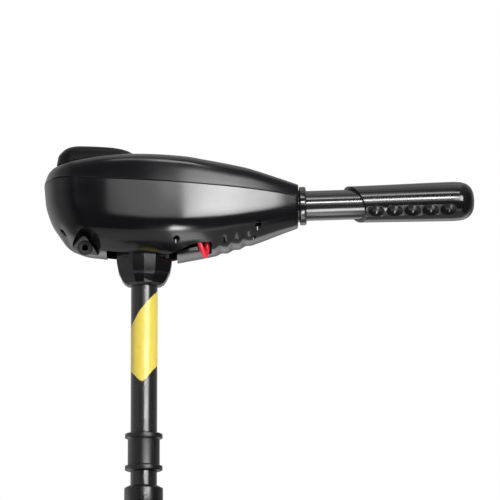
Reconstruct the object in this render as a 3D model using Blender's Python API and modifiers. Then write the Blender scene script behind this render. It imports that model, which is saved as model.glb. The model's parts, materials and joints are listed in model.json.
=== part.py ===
"""Transom-mount electric trolling motor with a twist-grip tiller head.

Frame: the origin is the middle of the transom seat, the underside of the clamp bracket's bridge.
+X points inboard, the way the tiller points; +Z is up; the shaft stands outboard, at SHAFT_X.
The sizes below are in millimetres and become metres where a shape is made.
"""

import math

import bmesh
import bpy
from mathutils import Matrix, Vector

MM = 0.001
GAP = 0.3                    # what touching pieces keep between them
FINE, ROUND, SMALL, TINY = 24, 20, 14, 8      # sides of large, middling, small and tiny rounds

# Driving dimensions -------------------------------------------------------------------------
SHAFT_X = -100.0             # shaft axis, outboard of the transom seat
SHAFT_R = 14.0               # 28 mm composite shaft
SHAFT_WALL = 3.0
SHAFT_LENGTH = 762.0         # free shaft between hub and motor pod
HUB_BOTTOM = 258.9
COLLAR_Z = 82.4              # middle of the depth collar at rest
TILLER_Z = 345.7             # height of the tiller's axis at the head's nose
TILLER_RISE = 1.8            # degrees that the tiller points upwards
TILT_PIVOT = (-60.0, 0.0)    # x and z of the pin that the motor tilts on
HEAD_PIVOT_Z = 317.0         # height of the pin that the head tilts on
POD_R = 46.0
POD_NECK = 28.0
CLAMP_GAP = 64.0             # widest transom that the clamp takes
CLAMP_REST = 46.0            # transom thickness that the screws are set to at rest

POD_Z = HUB_BOTTOM - SHAFT_LENGTH - POD_NECK - POD_R
HEAD_NOSE = 163.0            # where the head ends, ahead of the shaft axis
TUBE_R = 15.9

# Materials: colour, roughness, metallic -----------------------------------------------------
FINISHES = {
    "gloss_black": ((0.012, 0.012, 0.014), 0.22, 0.0),
    "satin_black": ((0.020, 0.020, 0.021), 0.42, 0.0),
    "grip_black": ((0.015, 0.015, 0.016), 0.38, 0.0),
    "composite": ((0.030, 0.030, 0.032), 0.35, 0.0),
    "motor_paint": ((0.018, 0.018, 0.020), 0.30, 0.0),
    "steel": ((0.60, 0.60, 0.61), 0.28, 1.0),
    "brass": ((0.70, 0.50, 0.22), 0.30, 1.0),
    "copper": ((0.72, 0.34, 0.18), 0.35, 1.0),
    "ferrite": ((0.06, 0.06, 0.065), 0.60, 0.0),
    "nylon": ((0.55, 0.54, 0.50), 0.50, 0.0),
    "rubber": ((0.020, 0.020, 0.020), 0.80, 0.0),
    "lens": ((0.10, 0.02, 0.02), 0.10, 0.0),
    "red_lead": ((0.60, 0.02, 0.04), 0.35, 0.0),
    "black_lead": ((0.015, 0.015, 0.015), 0.40, 0.0),
}


# Scene helpers ------------------------------------------------------------------------------
def clear_scene():
    for obj in list(bpy.data.objects):
        bpy.data.objects.remove(obj)


def collection(name):
    made = bpy.data.collections.new(name)
    bpy.context.scene.collection.children.link(made)
    return made


def material(name):
    found = bpy.data.materials.get(name)
    if found:
        return found
    colour, roughness, metallic = FINISHES[name]
    made = bpy.data.materials.new(name)
    made.use_nodes = True
    shader = made.node_tree.nodes["Principled BSDF"]
    shader.inputs["Base Color"].default_value = (*colour, 1.0)
    shader.inputs["Roughness"].default_value = roughness
    shader.inputs["Metallic"].default_value = metallic
    return made


def joint_empty(name, x, y, z, parent=None):
    """An empty on a joint's axis, which the pieces of its body are parented to."""
    empty = bpy.data.objects.new(name, None)
    empty.empty_display_size = 0.02
    PARTS.objects.link(empty)
    empty.location = (x * MM, y * MM, z * MM)
    if parent:
        empty.parent = parent
        empty.matrix_parent_inverse = Matrix.Translation(world_place(parent)).inverted()
    return empty


def world_place(empty):
    """The rest place of a joint empty; every empty stands unrotated at its own location."""
    return empty.location


def add(name, mesh, finish, body, place=(0, 0, 0), turn=None, smooth_angle=35):
    """Adds a mesh as a named part of a body, at place in millimetres, turned by a matrix."""
    obj = bpy.data.objects.new(name, mesh)
    PARTS.objects.link(obj)
    obj.matrix_world = Matrix.Translation(Vector(place) * MM) @ (turn or Matrix.Identity(4))
    obj.parent = body
    obj.matrix_parent_inverse = Matrix.Translation(world_place(body)).inverted()
    mesh.materials.append(material(finish))
    mesh.shade_smooth()
    mesh.set_sharp_from_angle(angle=math.radians(smooth_angle))
    return obj


def cutter(mesh, place=(0, 0, 0), turn=None):
    obj = bpy.data.objects.new("cutter", mesh)
    CUTTERS.objects.link(obj)
    obj.matrix_world = Matrix.Translation(Vector(place) * MM) @ (turn or Matrix.Identity(4))
    obj.hide_render = True
    obj.display_type = "WIRE"
    return obj


def boolean(obj, other, operation="DIFFERENCE"):
    mod = obj.modifiers.new(operation.lower(), "BOOLEAN")
    mod.operation = operation
    mod.object = other
    return obj


def cut(obj, *cutters):
    for other in cutters:
        boolean(obj, other)
    return obj


def join(obj, *others):
    for other in others:
        boolean(obj, other, "UNION")
    return obj


def bevel(obj, width, segments=2, angle=30):
    mod = obj.modifiers.new("bevel", "BEVEL")
    mod.width = width * MM
    mod.segments = segments
    mod.limit_method = "ANGLE"
    mod.angle_limit = math.radians(angle)
    return obj


# Shapes, in millimetres ---------------------------------------------------------------------
ALONG_X = Matrix.Rotation(math.radians(90), 4, "Y")
ALONG_MINUS_X = Matrix.Rotation(math.radians(-90), 4, "Y")
ALONG_Y = Matrix.Rotation(math.radians(-90), 4, "X")
ALONG_MINUS_Y = Matrix.Rotation(math.radians(90), 4, "X")


def finish_mesh(bm, name):
    mesh = bpy.data.meshes.new(name)
    bm.to_mesh(mesh)
    bm.free()
    return mesh


def box(low, high, name="box"):
    """A box between two corners."""
    bm = bmesh.new()
    bmesh.ops.create_cube(bm, size=1.0)
    size = [(h - l) * MM for l, h in zip(low, high)]
    middle = [(h + l) / 2 * MM for l, h in zip(low, high)]
    bmesh.ops.scale(bm, vec=size, verts=bm.verts)
    bmesh.ops.translate(bm, vec=middle, verts=bm.verts)
    return finish_mesh(bm, name)


def rod(radius, start, end, sides=SMALL, radius_end=None, name="rod"):
    """A cylinder, or a cone, along Z from start to end."""
    bm = bmesh.new()
    bmesh.ops.create_cone(bm, cap_ends=True, segments=sides, radius1=radius * MM,
                          radius2=(radius if radius_end is None else radius_end) * MM,
                          depth=(end - start) * MM)
    bmesh.ops.translate(bm, vec=(0, 0, (start + end) / 2 * MM), verts=bm.verts)
    return finish_mesh(bm, name)


def ball(radius, name="ball", rings=8, sides=TINY):
    bm = bmesh.new()
    bmesh.ops.create_uvsphere(bm, u_segments=sides, v_segments=rings, radius=radius * MM)
    return finish_mesh(bm, name)


def turned(profile, sides=SMALL, name="turned"):
    """Turned about Z from the (radius, height) points of a closed outline."""
    bm = bmesh.new()
    verts = [bm.verts.new((r * MM, 0, z * MM)) for r, z in profile]
    edges = [bm.edges.new((a, b)) for a, b in zip(verts, verts[1:] + verts[:1])
             if a.co.x > 0 or b.co.x > 0]
    bmesh.ops.spin(bm, geom=verts + edges, cent=(0, 0, 0), axis=(0, 0, 1),
                   angle=math.tau, steps=sides, use_merge=True)
    bmesh.ops.remove_doubles(bm, verts=bm.verts, dist=0.00001)
    bmesh.ops.recalc_face_normals(bm, faces=bm.faces)
    return finish_mesh(bm, name)


def plate(outline, low, high, name="plate"):
    """A flat outline of (u, v) points pulled along Z from low to high."""
    bm = bmesh.new()
    face = bm.faces.new([bm.verts.new((u * MM, v * MM, low * MM)) for u, v in outline])
    pulled = bmesh.ops.extrude_face_region(bm, geom=[face])["geom"]
    top = [v for v in pulled if isinstance(v, bmesh.types.BMVert)]
    bmesh.ops.translate(bm, vec=(0, 0, (high - low) * MM), verts=top)
    bmesh.ops.recalc_face_normals(bm, faces=bm.faces)
    return finish_mesh(bm, name)


def loft(sections, name="loft"):
    """A closed skin over sections of equal point counts, each a ring of (x, y, z) points."""
    bm = bmesh.new()
    rings = [[bm.verts.new(Vector(p) * MM) for p in ring] for ring in sections]
    for a, b in zip(rings, rings[1:]):
        for i in range(len(a)):
            j = (i + 1) % len(a)
            bm.faces.new((a[i], a[j], b[j], b[i]))
    bm.faces.new(list(reversed(rings[0])))
    bm.faces.new(rings[-1])
    bmesh.ops.recalc_face_normals(bm, faces=bm.faces)
    return finish_mesh(bm, name)


def arc(centre, radius, start, end, steps):
    """Points on an arc, in degrees, both ends included."""
    return [(centre[0] + radius * math.cos(math.radians(start + (end - start) * i / steps)),
             centre[1] + radius * math.sin(math.radians(start + (end - start) * i / steps)))
            for i in range(steps + 1)]


def smooth(points, at):
    """The value at a place on a smooth curve through (place, value) points."""
    if at <= points[0][0]:
        return points[0][1]
    for i in range(len(points) - 1):
        (x0, y0), (x1, y1) = points[i], points[i + 1]
        if at <= x1:
            before = points[max(i - 1, 0)]
            after = points[min(i + 2, len(points) - 1)]
            slope0 = (y1 - before[1]) / (x1 - before[0])
            slope1 = (after[1] - y0) / (after[0] - x0)
            t, width = (at - x0) / (x1 - x0), x1 - x0
            return ((2 * t**3 - 3 * t**2 + 1) * y0 + (t**3 - 2 * t**2 + t) * width * slope0
                    + (3 * t**2 - 2 * t**3) * y1 + (t**3 - t**2) * width * slope1)
    return points[-1][1]


# The head's outer surface -------------------------------------------------------------------
# Places are ahead of the shaft axis and heights above the tiller's axis. Each level is a line
# that runs from the head's back to its nose, at a share of the head's half width.
HALF_WIDTH = [(-107, 50), (-70, 53), (-36, 57), (0, 58), (28, 57), (59, 52.5), (91, 45),
              (122, 36), (144, 29), (HEAD_NOSE, 22)]
TOP_LINE = [(-97, 37), (-75, 45), (-44, 49.5), (-5, 51), (42, 48.7), (67, 45), (93, 40.8),
            (112, 37), (144, 27.6), (HEAD_NOSE, 21.7)]
SEAM_LINE = [(-106.4, 19.5), (-92, 22), (-79, 22.2), (-47, 20.3), (0, 18.1), (59, 15),
             (112, 12), (HEAD_NOSE, 6.9)]
CREASE_LINE = [(-104.5, -3), (-79, -9.5), (-47, -17.3), (0, -23.5), (28, -24), (59, -21),
               (91, -17), (112, -12.8), (HEAD_NOSE, -1.7)]
SHOULDER_LINE = [(-98.5, -21), (-79, -26.3), (-47, -31.5), (0, -35.2), (59, -33), (112, -23),
                 (HEAD_NOSE, -10.1)]
FLANK_LINE = [(-91, -32), (-79, -36.2), (-47, -41.9), (0, -44.8), (59, -42.6), (112, -31),
              (HEAD_NOSE, -16.1)]
BILGE_LINE = [(-82, -45), (-60, -51), (-44, -53.5), (0, -56), (36, -57), (59, -53.5),
              (86, -47.5), (112, -40), (144, -28.5), (HEAD_NOSE, -22.5)]
KEEL_LINE = [(-72, -52), (-57.7, -57), (-40, -58.5), (-10, -62), (36, -63), (48, -60.5),
             (67, -57), (86.5, -52.7), (105.6, -46.3), (124.7, -39.8), (143.7, -32.3),
             (HEAD_NOSE, -24.8)]
BACK_ROUND = 34.0            # how far forward the rounded back reaches
BACK_POWER = 2.5             # 2 would be an ellipse; more is squarer
HEAD_WALL = 2.8
HEAD_STATIONS = [0, 0.008, 0.025, 0.05, 0.085, 0.13, 0.2, 0.3, 0.42, 0.55, 0.68, 0.8, 0.9, 1.0]


def sunk(line, drop, back):
    """A line a little below another, with its own point at the back."""
    return [back] + [(x, z - drop) for x, z in line[1:]]


COVER_LEVELS = [
    (0.0, TOP_LINE),
    (0.45, sunk(TOP_LINE, 0.9, (-97.5, 36.5))),
    (0.74, sunk(TOP_LINE, 2.6, (-98.5, 35.5))),
    (0.88, sunk(TOP_LINE, 5.6, (-100.5, 33.5))),
    (0.955, sunk(TOP_LINE, 11.0, (-103, 30))),
    (1.0, SEAM_LINE),
]
HOUSING_LEVELS = [
    (1.0, SEAM_LINE), (0.985, CREASE_LINE), (0.91, SHOULDER_LINE), (0.74, FLANK_LINE),
    (0.48, BILGE_LINE), (0.0, KEEL_LINE),
]


def head_point(level, station, inset=0.0):
    """A point of one half, from its level, its share of the way to the nose and its inset."""
    share, line = level
    back = line[0][0] + inset
    x = back + (HEAD_NOSE - inset - back) * station
    rounding = (1 - (1 - min((x - back) / BACK_ROUND, 1)) ** BACK_POWER) ** (1 / BACK_POWER)
    y = share * (smooth(HALF_WIDTH, x) - inset) * rounding
    middle = smooth(SEAM_LINE, x)
    z = smooth(line, x)
    inwards = inset * math.sqrt(1 - share ** 2)
    return x, y, z - inwards if z > middle else z + inwards


def head_grid(bm, levels, side, lift, inset=0.0):
    """Skins one half of the surface over the levels, and closes it at the nose to a point."""
    grid = []
    for station in HEAD_STATIONS:
        points = [head_point(level, station, inset) for level in levels]
        grid.append([bm.verts.new((x * MM, side * y * MM, (z + lift) * MM))
                     for x, y, z in points])
    nose = (HEAD_NOSE - inset, 0, smooth(SEAM_LINE, HEAD_NOSE) + lift)
    grid.append([bm.verts.new(Vector(nose) * MM) for _ in levels])
    for near, far in zip(grid, grid[1:]):
        for j in range(len(levels) - 1):
            bm.faces.new((near[j], far[j], far[j + 1], near[j + 1]))
    return grid


def head_shell(levels, name, lift=0.0):
    """The hollow half of the head above, or below, the seam."""
    bm = bmesh.new()
    seam = 0 if levels[0][1] is SEAM_LINE else len(levels) - 1
    for side in (1, -1):
        outer = head_grid(bm, levels, side, lift)
        inner = head_grid(bm, levels, side, lift, HEAD_WALL)
        for i in range(len(outer) - 1):
            bm.faces.new((outer[i][seam], outer[i + 1][seam], inner[i + 1][seam],
                          inner[i][seam]))
    return welded(bm, name)


def head_solid(levels, name, lift=0.0, inset=0.0):
    """The filled shape inside the head's surface, which cuts and trims other shapes."""
    bm = bmesh.new()
    for side in (1, -1):
        head_grid(bm, levels, side, lift, inset)
    return welded(bm, name)


def welded(bm, name):
    bmesh.ops.remove_doubles(bm, verts=bm.verts, dist=0.00002)
    bmesh.ops.dissolve_degenerate(bm, dist=0.00001, edges=bm.edges)
    bmesh.ops.triangulate(bm, faces=bm.faces)
    bmesh.ops.recalc_face_normals(bm, faces=bm.faces)
    return finish_mesh(bm, name)


FILLED_HEAD = COVER_LEVELS + HOUSING_LEVELS[1:]
FILLED_COVER = COVER_LEVELS + [(0.0, SEAM_LINE)]

HEAD_AT = (SHAFT_X, 0, TILLER_Z)
TILLER_AT = (SHAFT_X, 0, TILLER_Z + 0.3 - 193 * math.tan(math.radians(TILLER_RISE)))
TILLER_TURN = Matrix.Rotation(math.radians(90 - TILLER_RISE), 4, "Y")
WEB_Y = (33.0, 37.0)         # the webs that the tilt pin sits in
SCREW_PLACES = [("rear_left", -85, 27, -37), ("rear_right", -85, -27, -37),
                ("front_left", 120.4, 29, -26), ("front_right", 120.4, -29, -26),
                ("middle", 34.6, -43, -43.5)]
DRAIN_AT = (116.0, 18.0)
HUB_OPENING = (-39.5, 35.0, 27.0)             # rear, front and half width
LEAD_SLOT = [(24, 26), (34, 30), (48, 35.2), (60, 35.6), (71.5, 33), (71.5, 12), (61.5, 12),
             (61.5, 27.5), (48, 28), (36, 25.5), (24, 20)]
RECESS = [(-79, -80), (-79, -47), (-73, -40), (-66, -33), (-60, -32), (-50, -41), (-42, -55),
          (-38, -66), (-36, -80)]
RECESS_FOOT = [(-76, -80), (-76, -47), (-71, -41), (-66, -35), (-63, -34.5), (-56, -43),
               (-49, -55), (-45, -66), (-44, -80)]
RECESS_Y = (-12.0, -32.0)                     # of the recess's foot and of its mouth
GLAND = (-62.5, -47.5)


# The head -----------------------------------------------------------------------------------
def make_housing(body):
    housing = add("head_lower_housing", head_shell(HOUSING_LEVELS, "housing"), "gloss_black",
                  body, HEAD_AT)
    filled = cutter(head_solid(FILLED_HEAD, "filled", inset=HEAD_WALL / 2), HEAD_AT)
    for side in (1, -1):
        inner, outer = (y * side for y in WEB_Y)
        web = cutter(box((-50, min(inner, outer), -60), (24, max(inner, outer), -14)), HEAD_AT)
        boolean(web, filled, "INTERSECT")
        join(housing, web)
    pocket = cutter(recess_shape(3), HEAD_AT)
    boolean(pocket, filled, "INTERSECT")
    join(housing, pocket, cutter(box((-50, -34, -36), (-42, 34, -26.4)), HEAD_AT))
    rear, front, half = HUB_OPENING
    gland_x, gland_z = GLAND
    cut(housing,
        cutter(box((rear, -half, -80), (front, half, -36)), HEAD_AT),
        cutter(plate(LEAD_SLOT, -80, -36), HEAD_AT),
        cutter(plate([(x, -y) for x, y in LEAD_SLOT], -80, -36), HEAD_AT),
        cutter(recess_shape(0), HEAD_AT),
        cutter(rod(6.4, 2, 20), (SHAFT_X + gland_x, 0, TILLER_Z + gland_z), ALONG_MINUS_Y),
        cutter(rod(4.3, -45, 45), pivot_place(), ALONG_Y),
        cutter(rod(17.4, 145, 175, ROUND), TILLER_AT, TILLER_TURN))
    for _, x, y, _ in SCREW_PLACES:
        cut(housing, cutter(rod(3.6, -70, 0, TINY), (SHAFT_X + x, y, TILLER_Z)))
    for y in (-DRAIN_AT[1], DRAIN_AT[1]):
        cut(housing, cutter(rod(2.5, -70, -20, TINY), (SHAFT_X + DRAIN_AT[0], y, TILLER_Z)))


def recess_shape(wall):
    """The undercut recess, which narrows inwards, or the pocket round it for a wall."""
    foot, mouth = RECESS_Y
    past = 1 + 20 / (foot - mouth)
    sections = [[(u, foot + wall * 1.3, v) for u, v in grown(RECESS_FOOT, wall)]]
    for share in (1.0, past):
        outline = [tuple(Vector(a).lerp(Vector(b), share)) for a, b in zip(RECESS_FOOT, RECESS)]
        sections.append([(u, foot + (mouth - foot) * share, v) for u, v in grown(outline, wall)])
    return loft(sections)


def grown(outline, by):
    """An outline pushed outwards about its middle by roughly the given width."""
    middle_u = sum(u for u, _ in outline) / len(outline)
    middle_v = sum(v for _, v in outline) / len(outline)
    pushed = []
    for u, v in outline:
        away = Vector((u - middle_u, v - middle_v)).normalized() * by * 1.3
        pushed.append((u + away.x, v + away.y))
    return pushed


def pivot_place():
    return (SHAFT_X, 0, HEAD_PIVOT_Z)


def make_head_screws(body):
    """Screws that come up through the undercut side into the cover."""
    for name, x, y, under in SCREW_PLACES:
        shank = [(0, 30), (1.6, 30), (1.6, 4), (3.0, 4), (3.0, 0.8), (2.2, 0), (0, 0)]
        add("head_screw_" + name, turned(shank, TINY), "steel", body,
            (SHAFT_X + x, y, TILLER_Z + under + 7))


def make_cover(body):
    cover = add("head_top_cover", head_shell(COVER_LEVELS, "cover", GAP), "gloss_black",
                body, HEAD_AT)
    cut(cover, cutter(rod(17.4, 145, 175, ROUND), TILLER_AT, TILLER_TURN))


# Back, front, half width and height of the gauge pod, which falls away towards its front.
GAUGE_LEVELS = [(-92.6, -8, 34, 40), (-91, -8, 34, 49.5), (-86.8, -15.3, 33.5, 54),
                (-84.6, -21.6, 32.5, 56.2), (-83, -28.5, 31.3, 57.4), (-81, -43, 29.6, 58.5),
                (-78.4, -56, 27, 59.3), (-75, -62, 23, 59.7)]


def make_gauge_pod(body):
    """The raised pod on the cover, with the battery gauge and its test button on top."""
    sections = [pod_outline(*level) for level in GAUGE_LEVELS]
    pod = add("gauge_pod", loft(sections), "satin_black", body, HEAD_AT)
    cut(pod,
        cutter(head_solid(FILLED_COVER, "cover_cut", 2 * GAP), HEAD_AT),
        cutter(box((-76, -19, 40), (-26, 19, 55.5)), HEAD_AT),
        cutter(box((-72.3, -8.3, 54), (-42.7, 8.3, 62)), HEAD_AT),
        cutter(rod(5.3, 54, 62), (SHAFT_X - 33, 0, TILLER_Z)))
    add("gauge_lens", box((-72, -8, 56), (-43, 8, 59.2)), "lens", body, HEAD_AT)


def pod_outline(back, front, half, z):
    """A rounded rectangle at one height."""
    corner = min(14.0, half * 0.45, (front - back) * 0.45)
    points = []
    for cx, cy, start in ((front - corner, half - corner, 0), (back + corner, half - corner, 90),
                          (back + corner, -half + corner, 180),
                          (front - corner, -half + corner, 270)):
        points += arc((cx, cy), corner, start, start + 90, 4)
    return [(x, y, z) for x, y in points]


def make_test_button(body):
    button = [(0, 60.6), (3.6, 60.6), (4.6, 59.8), (4.6, 54.9), (6.4, 54.9), (6.4, 53.4),
              (0, 53.4)]
    add("test_button", turned(button, SMALL), "satin_black", body,
        (SHAFT_X - 33, 0, TILLER_Z))


def make_handle_collar(body):
    ring = [(18.6, 171.6), (20.4, 170.6), (20.5, 165.2), (19.9, 164.4), (17.0, 164.4),
            (17.0, 150), (16.2, 150), (16.2, 171.6)]
    add("handle_collar", turned(ring, ROUND), "satin_black", body, TILLER_AT, TILLER_TURN)


def make_speed_switch(body):
    switch = add("speed_switch", box((-16, -18, -62), (18, 18, -20)), "nylon", body,
                 TILLER_AT, TILLER_TURN)
    cut(switch, cutter(rod(7.6, -30, -10), TILLER_AT, TILLER_TURN))


def make_lead_gland(body):
    """The rubber gland that the battery leads come out of, in the recess under the tail."""
    gland = [(6.0, 15.6), (7.2, 15.4), (8.0, 14.8), (8.0, 12.4), (6.0, 12.4), (6.0, 3),
             (3.2, 3), (3.2, 15.6)]
    gland_x, gland_z = GLAND
    add("lead_gland", turned(gland, SMALL), "rubber", body,
        (SHAFT_X + gland_x, 0, TILLER_Z + gland_z), ALONG_MINUS_Y)


def wire(points, radius, name):
    """A round wire through points, with its ends closed."""
    curve = bpy.data.curves.new(name, "CURVE")
    curve.dimensions = "3D"
    curve.bevel_depth = radius * MM
    curve.bevel_resolution = 2
    curve.use_fill_caps = True
    spline = curve.splines.new("POLY")
    spline.points.add(len(points) - 1)
    for point, place in zip(spline.points, points):
        point.co = (*(Vector(place) * MM), 1.0)
    holder = bpy.data.objects.new(name, curve)
    mesh = bpy.data.meshes.new_from_object(holder)
    bpy.data.objects.remove(holder)
    bm = bmesh.new()
    bm.from_mesh(mesh)
    bmesh.ops.remove_doubles(bm, verts=bm.verts, dist=0.00001)
    bmesh.ops.recalc_face_normals(bm, faces=bm.faces)
    return finish_mesh(bm, name)


RED_LEAD = [(-19, -24, -13.5), (-10, -23.6, -12.6), (4, -23, -12.2), (20, -23, -12.6),
            (34, -23, -13), (46, -23, -15), (55, -26, -22), (58, -29.5, -32), (58, -32, -45),
            (60, -32.3, -51), (62.5, -30, -56), (65, -27, -59), (67.3, -24, -56),
            (68, -21.5, -48), (67.5, -21.5, -36), (65, -22, -20), (60, -22.5, -9.5),
            (46, -22.5, -5.2), (30, -22.5, -4.4), (10, -22.8, -4.4), (-8, -23.5, -5),
            (-19, -24, -5.4)]
BLACK_LEAD = [(-19, -29.5, -13.5), (-10, -29.5, -12.6), (4, -29.5, -12.2), (17, -29.5, -13.5),
              (25, -29.3, -22), (28, -29, -36), (33, -29.3, -42.3), (39, -29.8, -44.3),
              (44, -29.8, -43.8), (48, -29, -40), (49, -29, -32), (46, -29.5, -20),
              (40, -29.5, -8.5), (30, -29.5, -4.4), (10, -29.5, -4.4), (-8, -29.5, -5),
              (-19, -29.5, -5.4)]


def make_wire_loops(body):
    """The motor leads' slack, which shows in the slot under the nose."""
    add("wire_loop_red", wire(RED_LEAD, 2.6, "red"), "red_lead", body, HEAD_AT)
    add("wire_loop_black", wire(BLACK_LEAD, 2.6, "black"), "black_lead", body, HEAD_AT)


# The tiller ---------------------------------------------------------------------------------
def make_drive_rod(body):
    drive = add("drive_rod", box((-5, -5, -24), (5, 5, 205)), "steel", body, TILLER_AT,
                TILLER_TURN)
    bevel(drive, 0.8, 1)


def make_tiller_tube(body):
    tube = [(TUBE_R, 340.5), (TUBE_R, 64), (8, 64), (8, 72), (13.5, 72), (13.5, 340.5)]
    add("tiller_tube", turned(tube, ROUND), "satin_black", body, TILLER_AT, TILLER_TURN)


def make_grip(body):
    profile = [(0, 350.4), (8, 349.6), (14, 347.2), (18.3, 342.5), (20.4, 336), (20.9, 328),
               (20.6, 300), (19.8, 255), (19.4, 222), (19.4, 200), (16.2, 200), (16.2, 341),
               (0, 341)]
    grip = add("tiller_grip", turned(profile, ROUND), "grip_black", body, TILLER_AT, TILLER_TURN)
    facing = Vector((-7.4 / 19.4, 9.5 / 19.4, 1)).to_track_quat("Z", "Y").to_matrix().to_4x4()
    mouth = cutter(box((-40, -40, -60), (40, 40, 0)), TILLER_AT)
    mouth.matrix_world = (Matrix.Translation(Vector(TILLER_AT) * MM) @ TILLER_TURN
                          @ Matrix.Translation((0, 0, 223.2 * MM)) @ facing)
    cut(grip, mouth)
    out = math.radians(128)
    for i in range(5):
        along = 245.5 + 19.1 * i
        reach = 28.9 + 0.25 * i
        dimple = cutter(ball(11.5), TILLER_AT)
        dimple.matrix_world = (Matrix.Translation(Vector(TILLER_AT) * MM) @ TILLER_TURN
                               @ Matrix.Translation(Vector((-math.cos(out) * reach,
                                                            -math.sin(out) * reach,
                                                            along)) * MM))
        cut(grip, dimple)


# The shaft and its hub ----------------------------------------------------------------------
def make_shaft(body):
    tube = [(SHAFT_R, 300), (SHAFT_R, POD_Z + POD_R + 6), (SHAFT_R - SHAFT_WALL, POD_Z + POD_R + 6),
            (SHAFT_R - SHAFT_WALL, 300)]
    add("shaft_tube", turned(tube, ROUND), "composite", body, (SHAFT_X, 0, 0))


def hub_section(half_x, half_y, z):
    """An octagon with wide flats, at one height."""
    cx, cy = half_x * 0.42, half_y * 0.45
    return [(half_x, -cy, z), (half_x, cy, z), (cx, half_y, z), (-cx, half_y, z),
            (-half_x, cy, z), (-half_x, -cy, z), (-cx, -half_y, z), (cx, -half_y, z)]


def make_hub(body):
    """The clamped hub in two halves, which meet across the shaft and hold the tilt pin."""
    levels = [(30, 26, 304.4), (29, 25, 283), (26.5, 24, 272), (22.5, 21, 264),
              (17, 17, HUB_BOTTOM)]
    for side, name in ((1, "hub_front_half"), (-1, "hub_rear_half")):
        half = add(name, loft([hub_section(*level) for level in levels]), "gloss_black", body,
                   (SHAFT_X, 0, 0))
        boss = cutter(rod(12.5, -31, 31, ROUND), pivot_place(), ALONG_Y)
        join(half, boss, cutter(box((-12.5, -26, 300), (12.5, 26, HEAD_PIVOT_Z)),
                                (SHAFT_X, 0, 0)))
        away = box((-80, -60, 240), (0.15, 60, 350)) if side > 0 else box((-0.15, -60, 240),
                                                                         (80, 60, 350))
        cut(half,
            cutter(away, (SHAFT_X, 0, 0)),
            cutter(rod(SHAFT_R + GAP, 240, 300.3, ROUND), (SHAFT_X, 0, 0)),
            cutter(rod(8, 290, 350, SMALL), (SHAFT_X, 0, 0)),
            cutter(rod(4.3, -45, 45, SMALL), pivot_place(), ALONG_Y))
        for y in (-19.5, 19.5):
            cut(half, cutter(rod(2.3, -40, 40, TINY), (SHAFT_X, y, 290), ALONG_X),
                cutter(rod(5.2, 22, 40, TINY), (SHAFT_X, y, 290), ALONG_X))
    pin = [(0, 39.5), (3.3, 39.5), (4, 38.8), (4, -38.8), (3.3, -39.5), (0, -39.5)]
    add("head_tilt_pin", turned(pin, SMALL), "satin_black", body, pivot_place(), ALONG_Y)
    screw = [(0, 26), (4.2, 26), (4.2, 22.4), (2, 22.4), (2, -22), (0, -22)]
    for side, name in ((-1, "hub_screw_left"), (1, "hub_screw_right")):
        add(name, turned(screw, TINY), "satin_black", body, (SHAFT_X, 19.5 * side, 290), ALONG_X)


COLLAR_AT = (SHAFT_X, 0, COLLAR_Z)


def make_depth_collar(body):
    bore = SHAFT_R + GAP
    spool = [(17.6, 20.1), (19.9, 19.0), (19.9, 14.6), (16.9, 13.6), (16.9, -13.7),
             (19.9, -14.7), (19.9, -19.1), (17.6, -20.2), (bore, -20.2), (bore, 20.1)]
    collar = add("depth_collar", turned(spool, ROUND), "satin_black", body, COLLAR_AT)
    join(collar, cutter(rod(7, 15.5, 20, SMALL), COLLAR_AT, ALONG_Y))
    cut(collar, cutter(rod(3.3, 10, 30, TINY), COLLAR_AT, ALONG_Y))


def make_collar_screw(body):
    profile = [(0, 38), (8, 38), (11, 36.5), (12, 33), (12, 26), (10, 24), (3, 24), (3, 14.4),
               (0, 14.4)]
    knob = add("collar_screw", turned(profile, SMALL), "satin_black", body, COLLAR_AT, ALONG_Y)
    flute(knob, COLLAR_AT, ALONG_Y, 13, 23, 40, 6)


# The motor pod ------------------------------------------------------------------------------
POD_AT = (SHAFT_X, 0, POD_Z)
POD_BACK, POD_FRONT = -88.0, 72.0
POD_BORE = 42.8


def make_pod_housing(body):
    shell = [(POD_R, POD_FRONT), (POD_R, POD_BACK), (POD_BORE, POD_BACK), (POD_BORE, POD_FRONT)]
    pod = add("pod_housing", turned(shell, FINE), "motor_paint", body, POD_AT, ALONG_X)
    neck = turned([(0, POD_R + POD_NECK), (18.5, POD_R + POD_NECK), (20, POD_R + 18),
                   (24, POD_R + 6), (34, POD_R - 6), (34, POD_R - 14), (0, POD_R - 14)], ROUND)
    join(pod, cutter(neck, POD_AT))
    cut(pod,
        cutter(rod(POD_BORE, -78, 66, FINE), POD_AT, ALONG_X),
        cutter(rod(SHAFT_R + GAP, POD_R + 5.7, POD_R + 60, ROUND), POD_AT),
        cutter(rod(8, 20, POD_R + 20, SMALL), POD_AT))


def make_nose_cone(body):
    profile = [(0, 112), (12, 110.5), (24, 105.5), (34, 97), (41, 86), (45, 77), (46, 72.4),
               (42.4, 72.4), (42.4, 66), (36, 66), (36, 74), (12.6, 74), (12.6, 66), (9.0, 66),
               (9.0, 80), (0, 80)]
    add("nose_cone", turned(profile, FINE), "motor_paint", body, POD_AT, ALONG_X)


def make_rear_bell(body):
    profile = [(15, -110), (25, -108), (37, -102), (44, -95), (46, -88.3), (42.4, -88.3),
               (42.4, -82), (36, -82), (36, -90), (16.6, -94), (16.6, -84), (11.4, -84),
               (11.4, -96), (8.4, -96), (8.4, -110)]
    bell = add("rear_end_bell", turned(profile, FINE), "motor_paint", body, POD_AT, ALONG_X)
    for y in (-39.5, 39.5):
        cut(bell, cutter(rod(2.1, -120, -70, TINY), (SHAFT_X, y, POD_Z), ALONG_X),
            cutter(rod(4.9, -120, -92.7, TINY), (SHAFT_X, y, POD_Z), ALONG_X))


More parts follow.
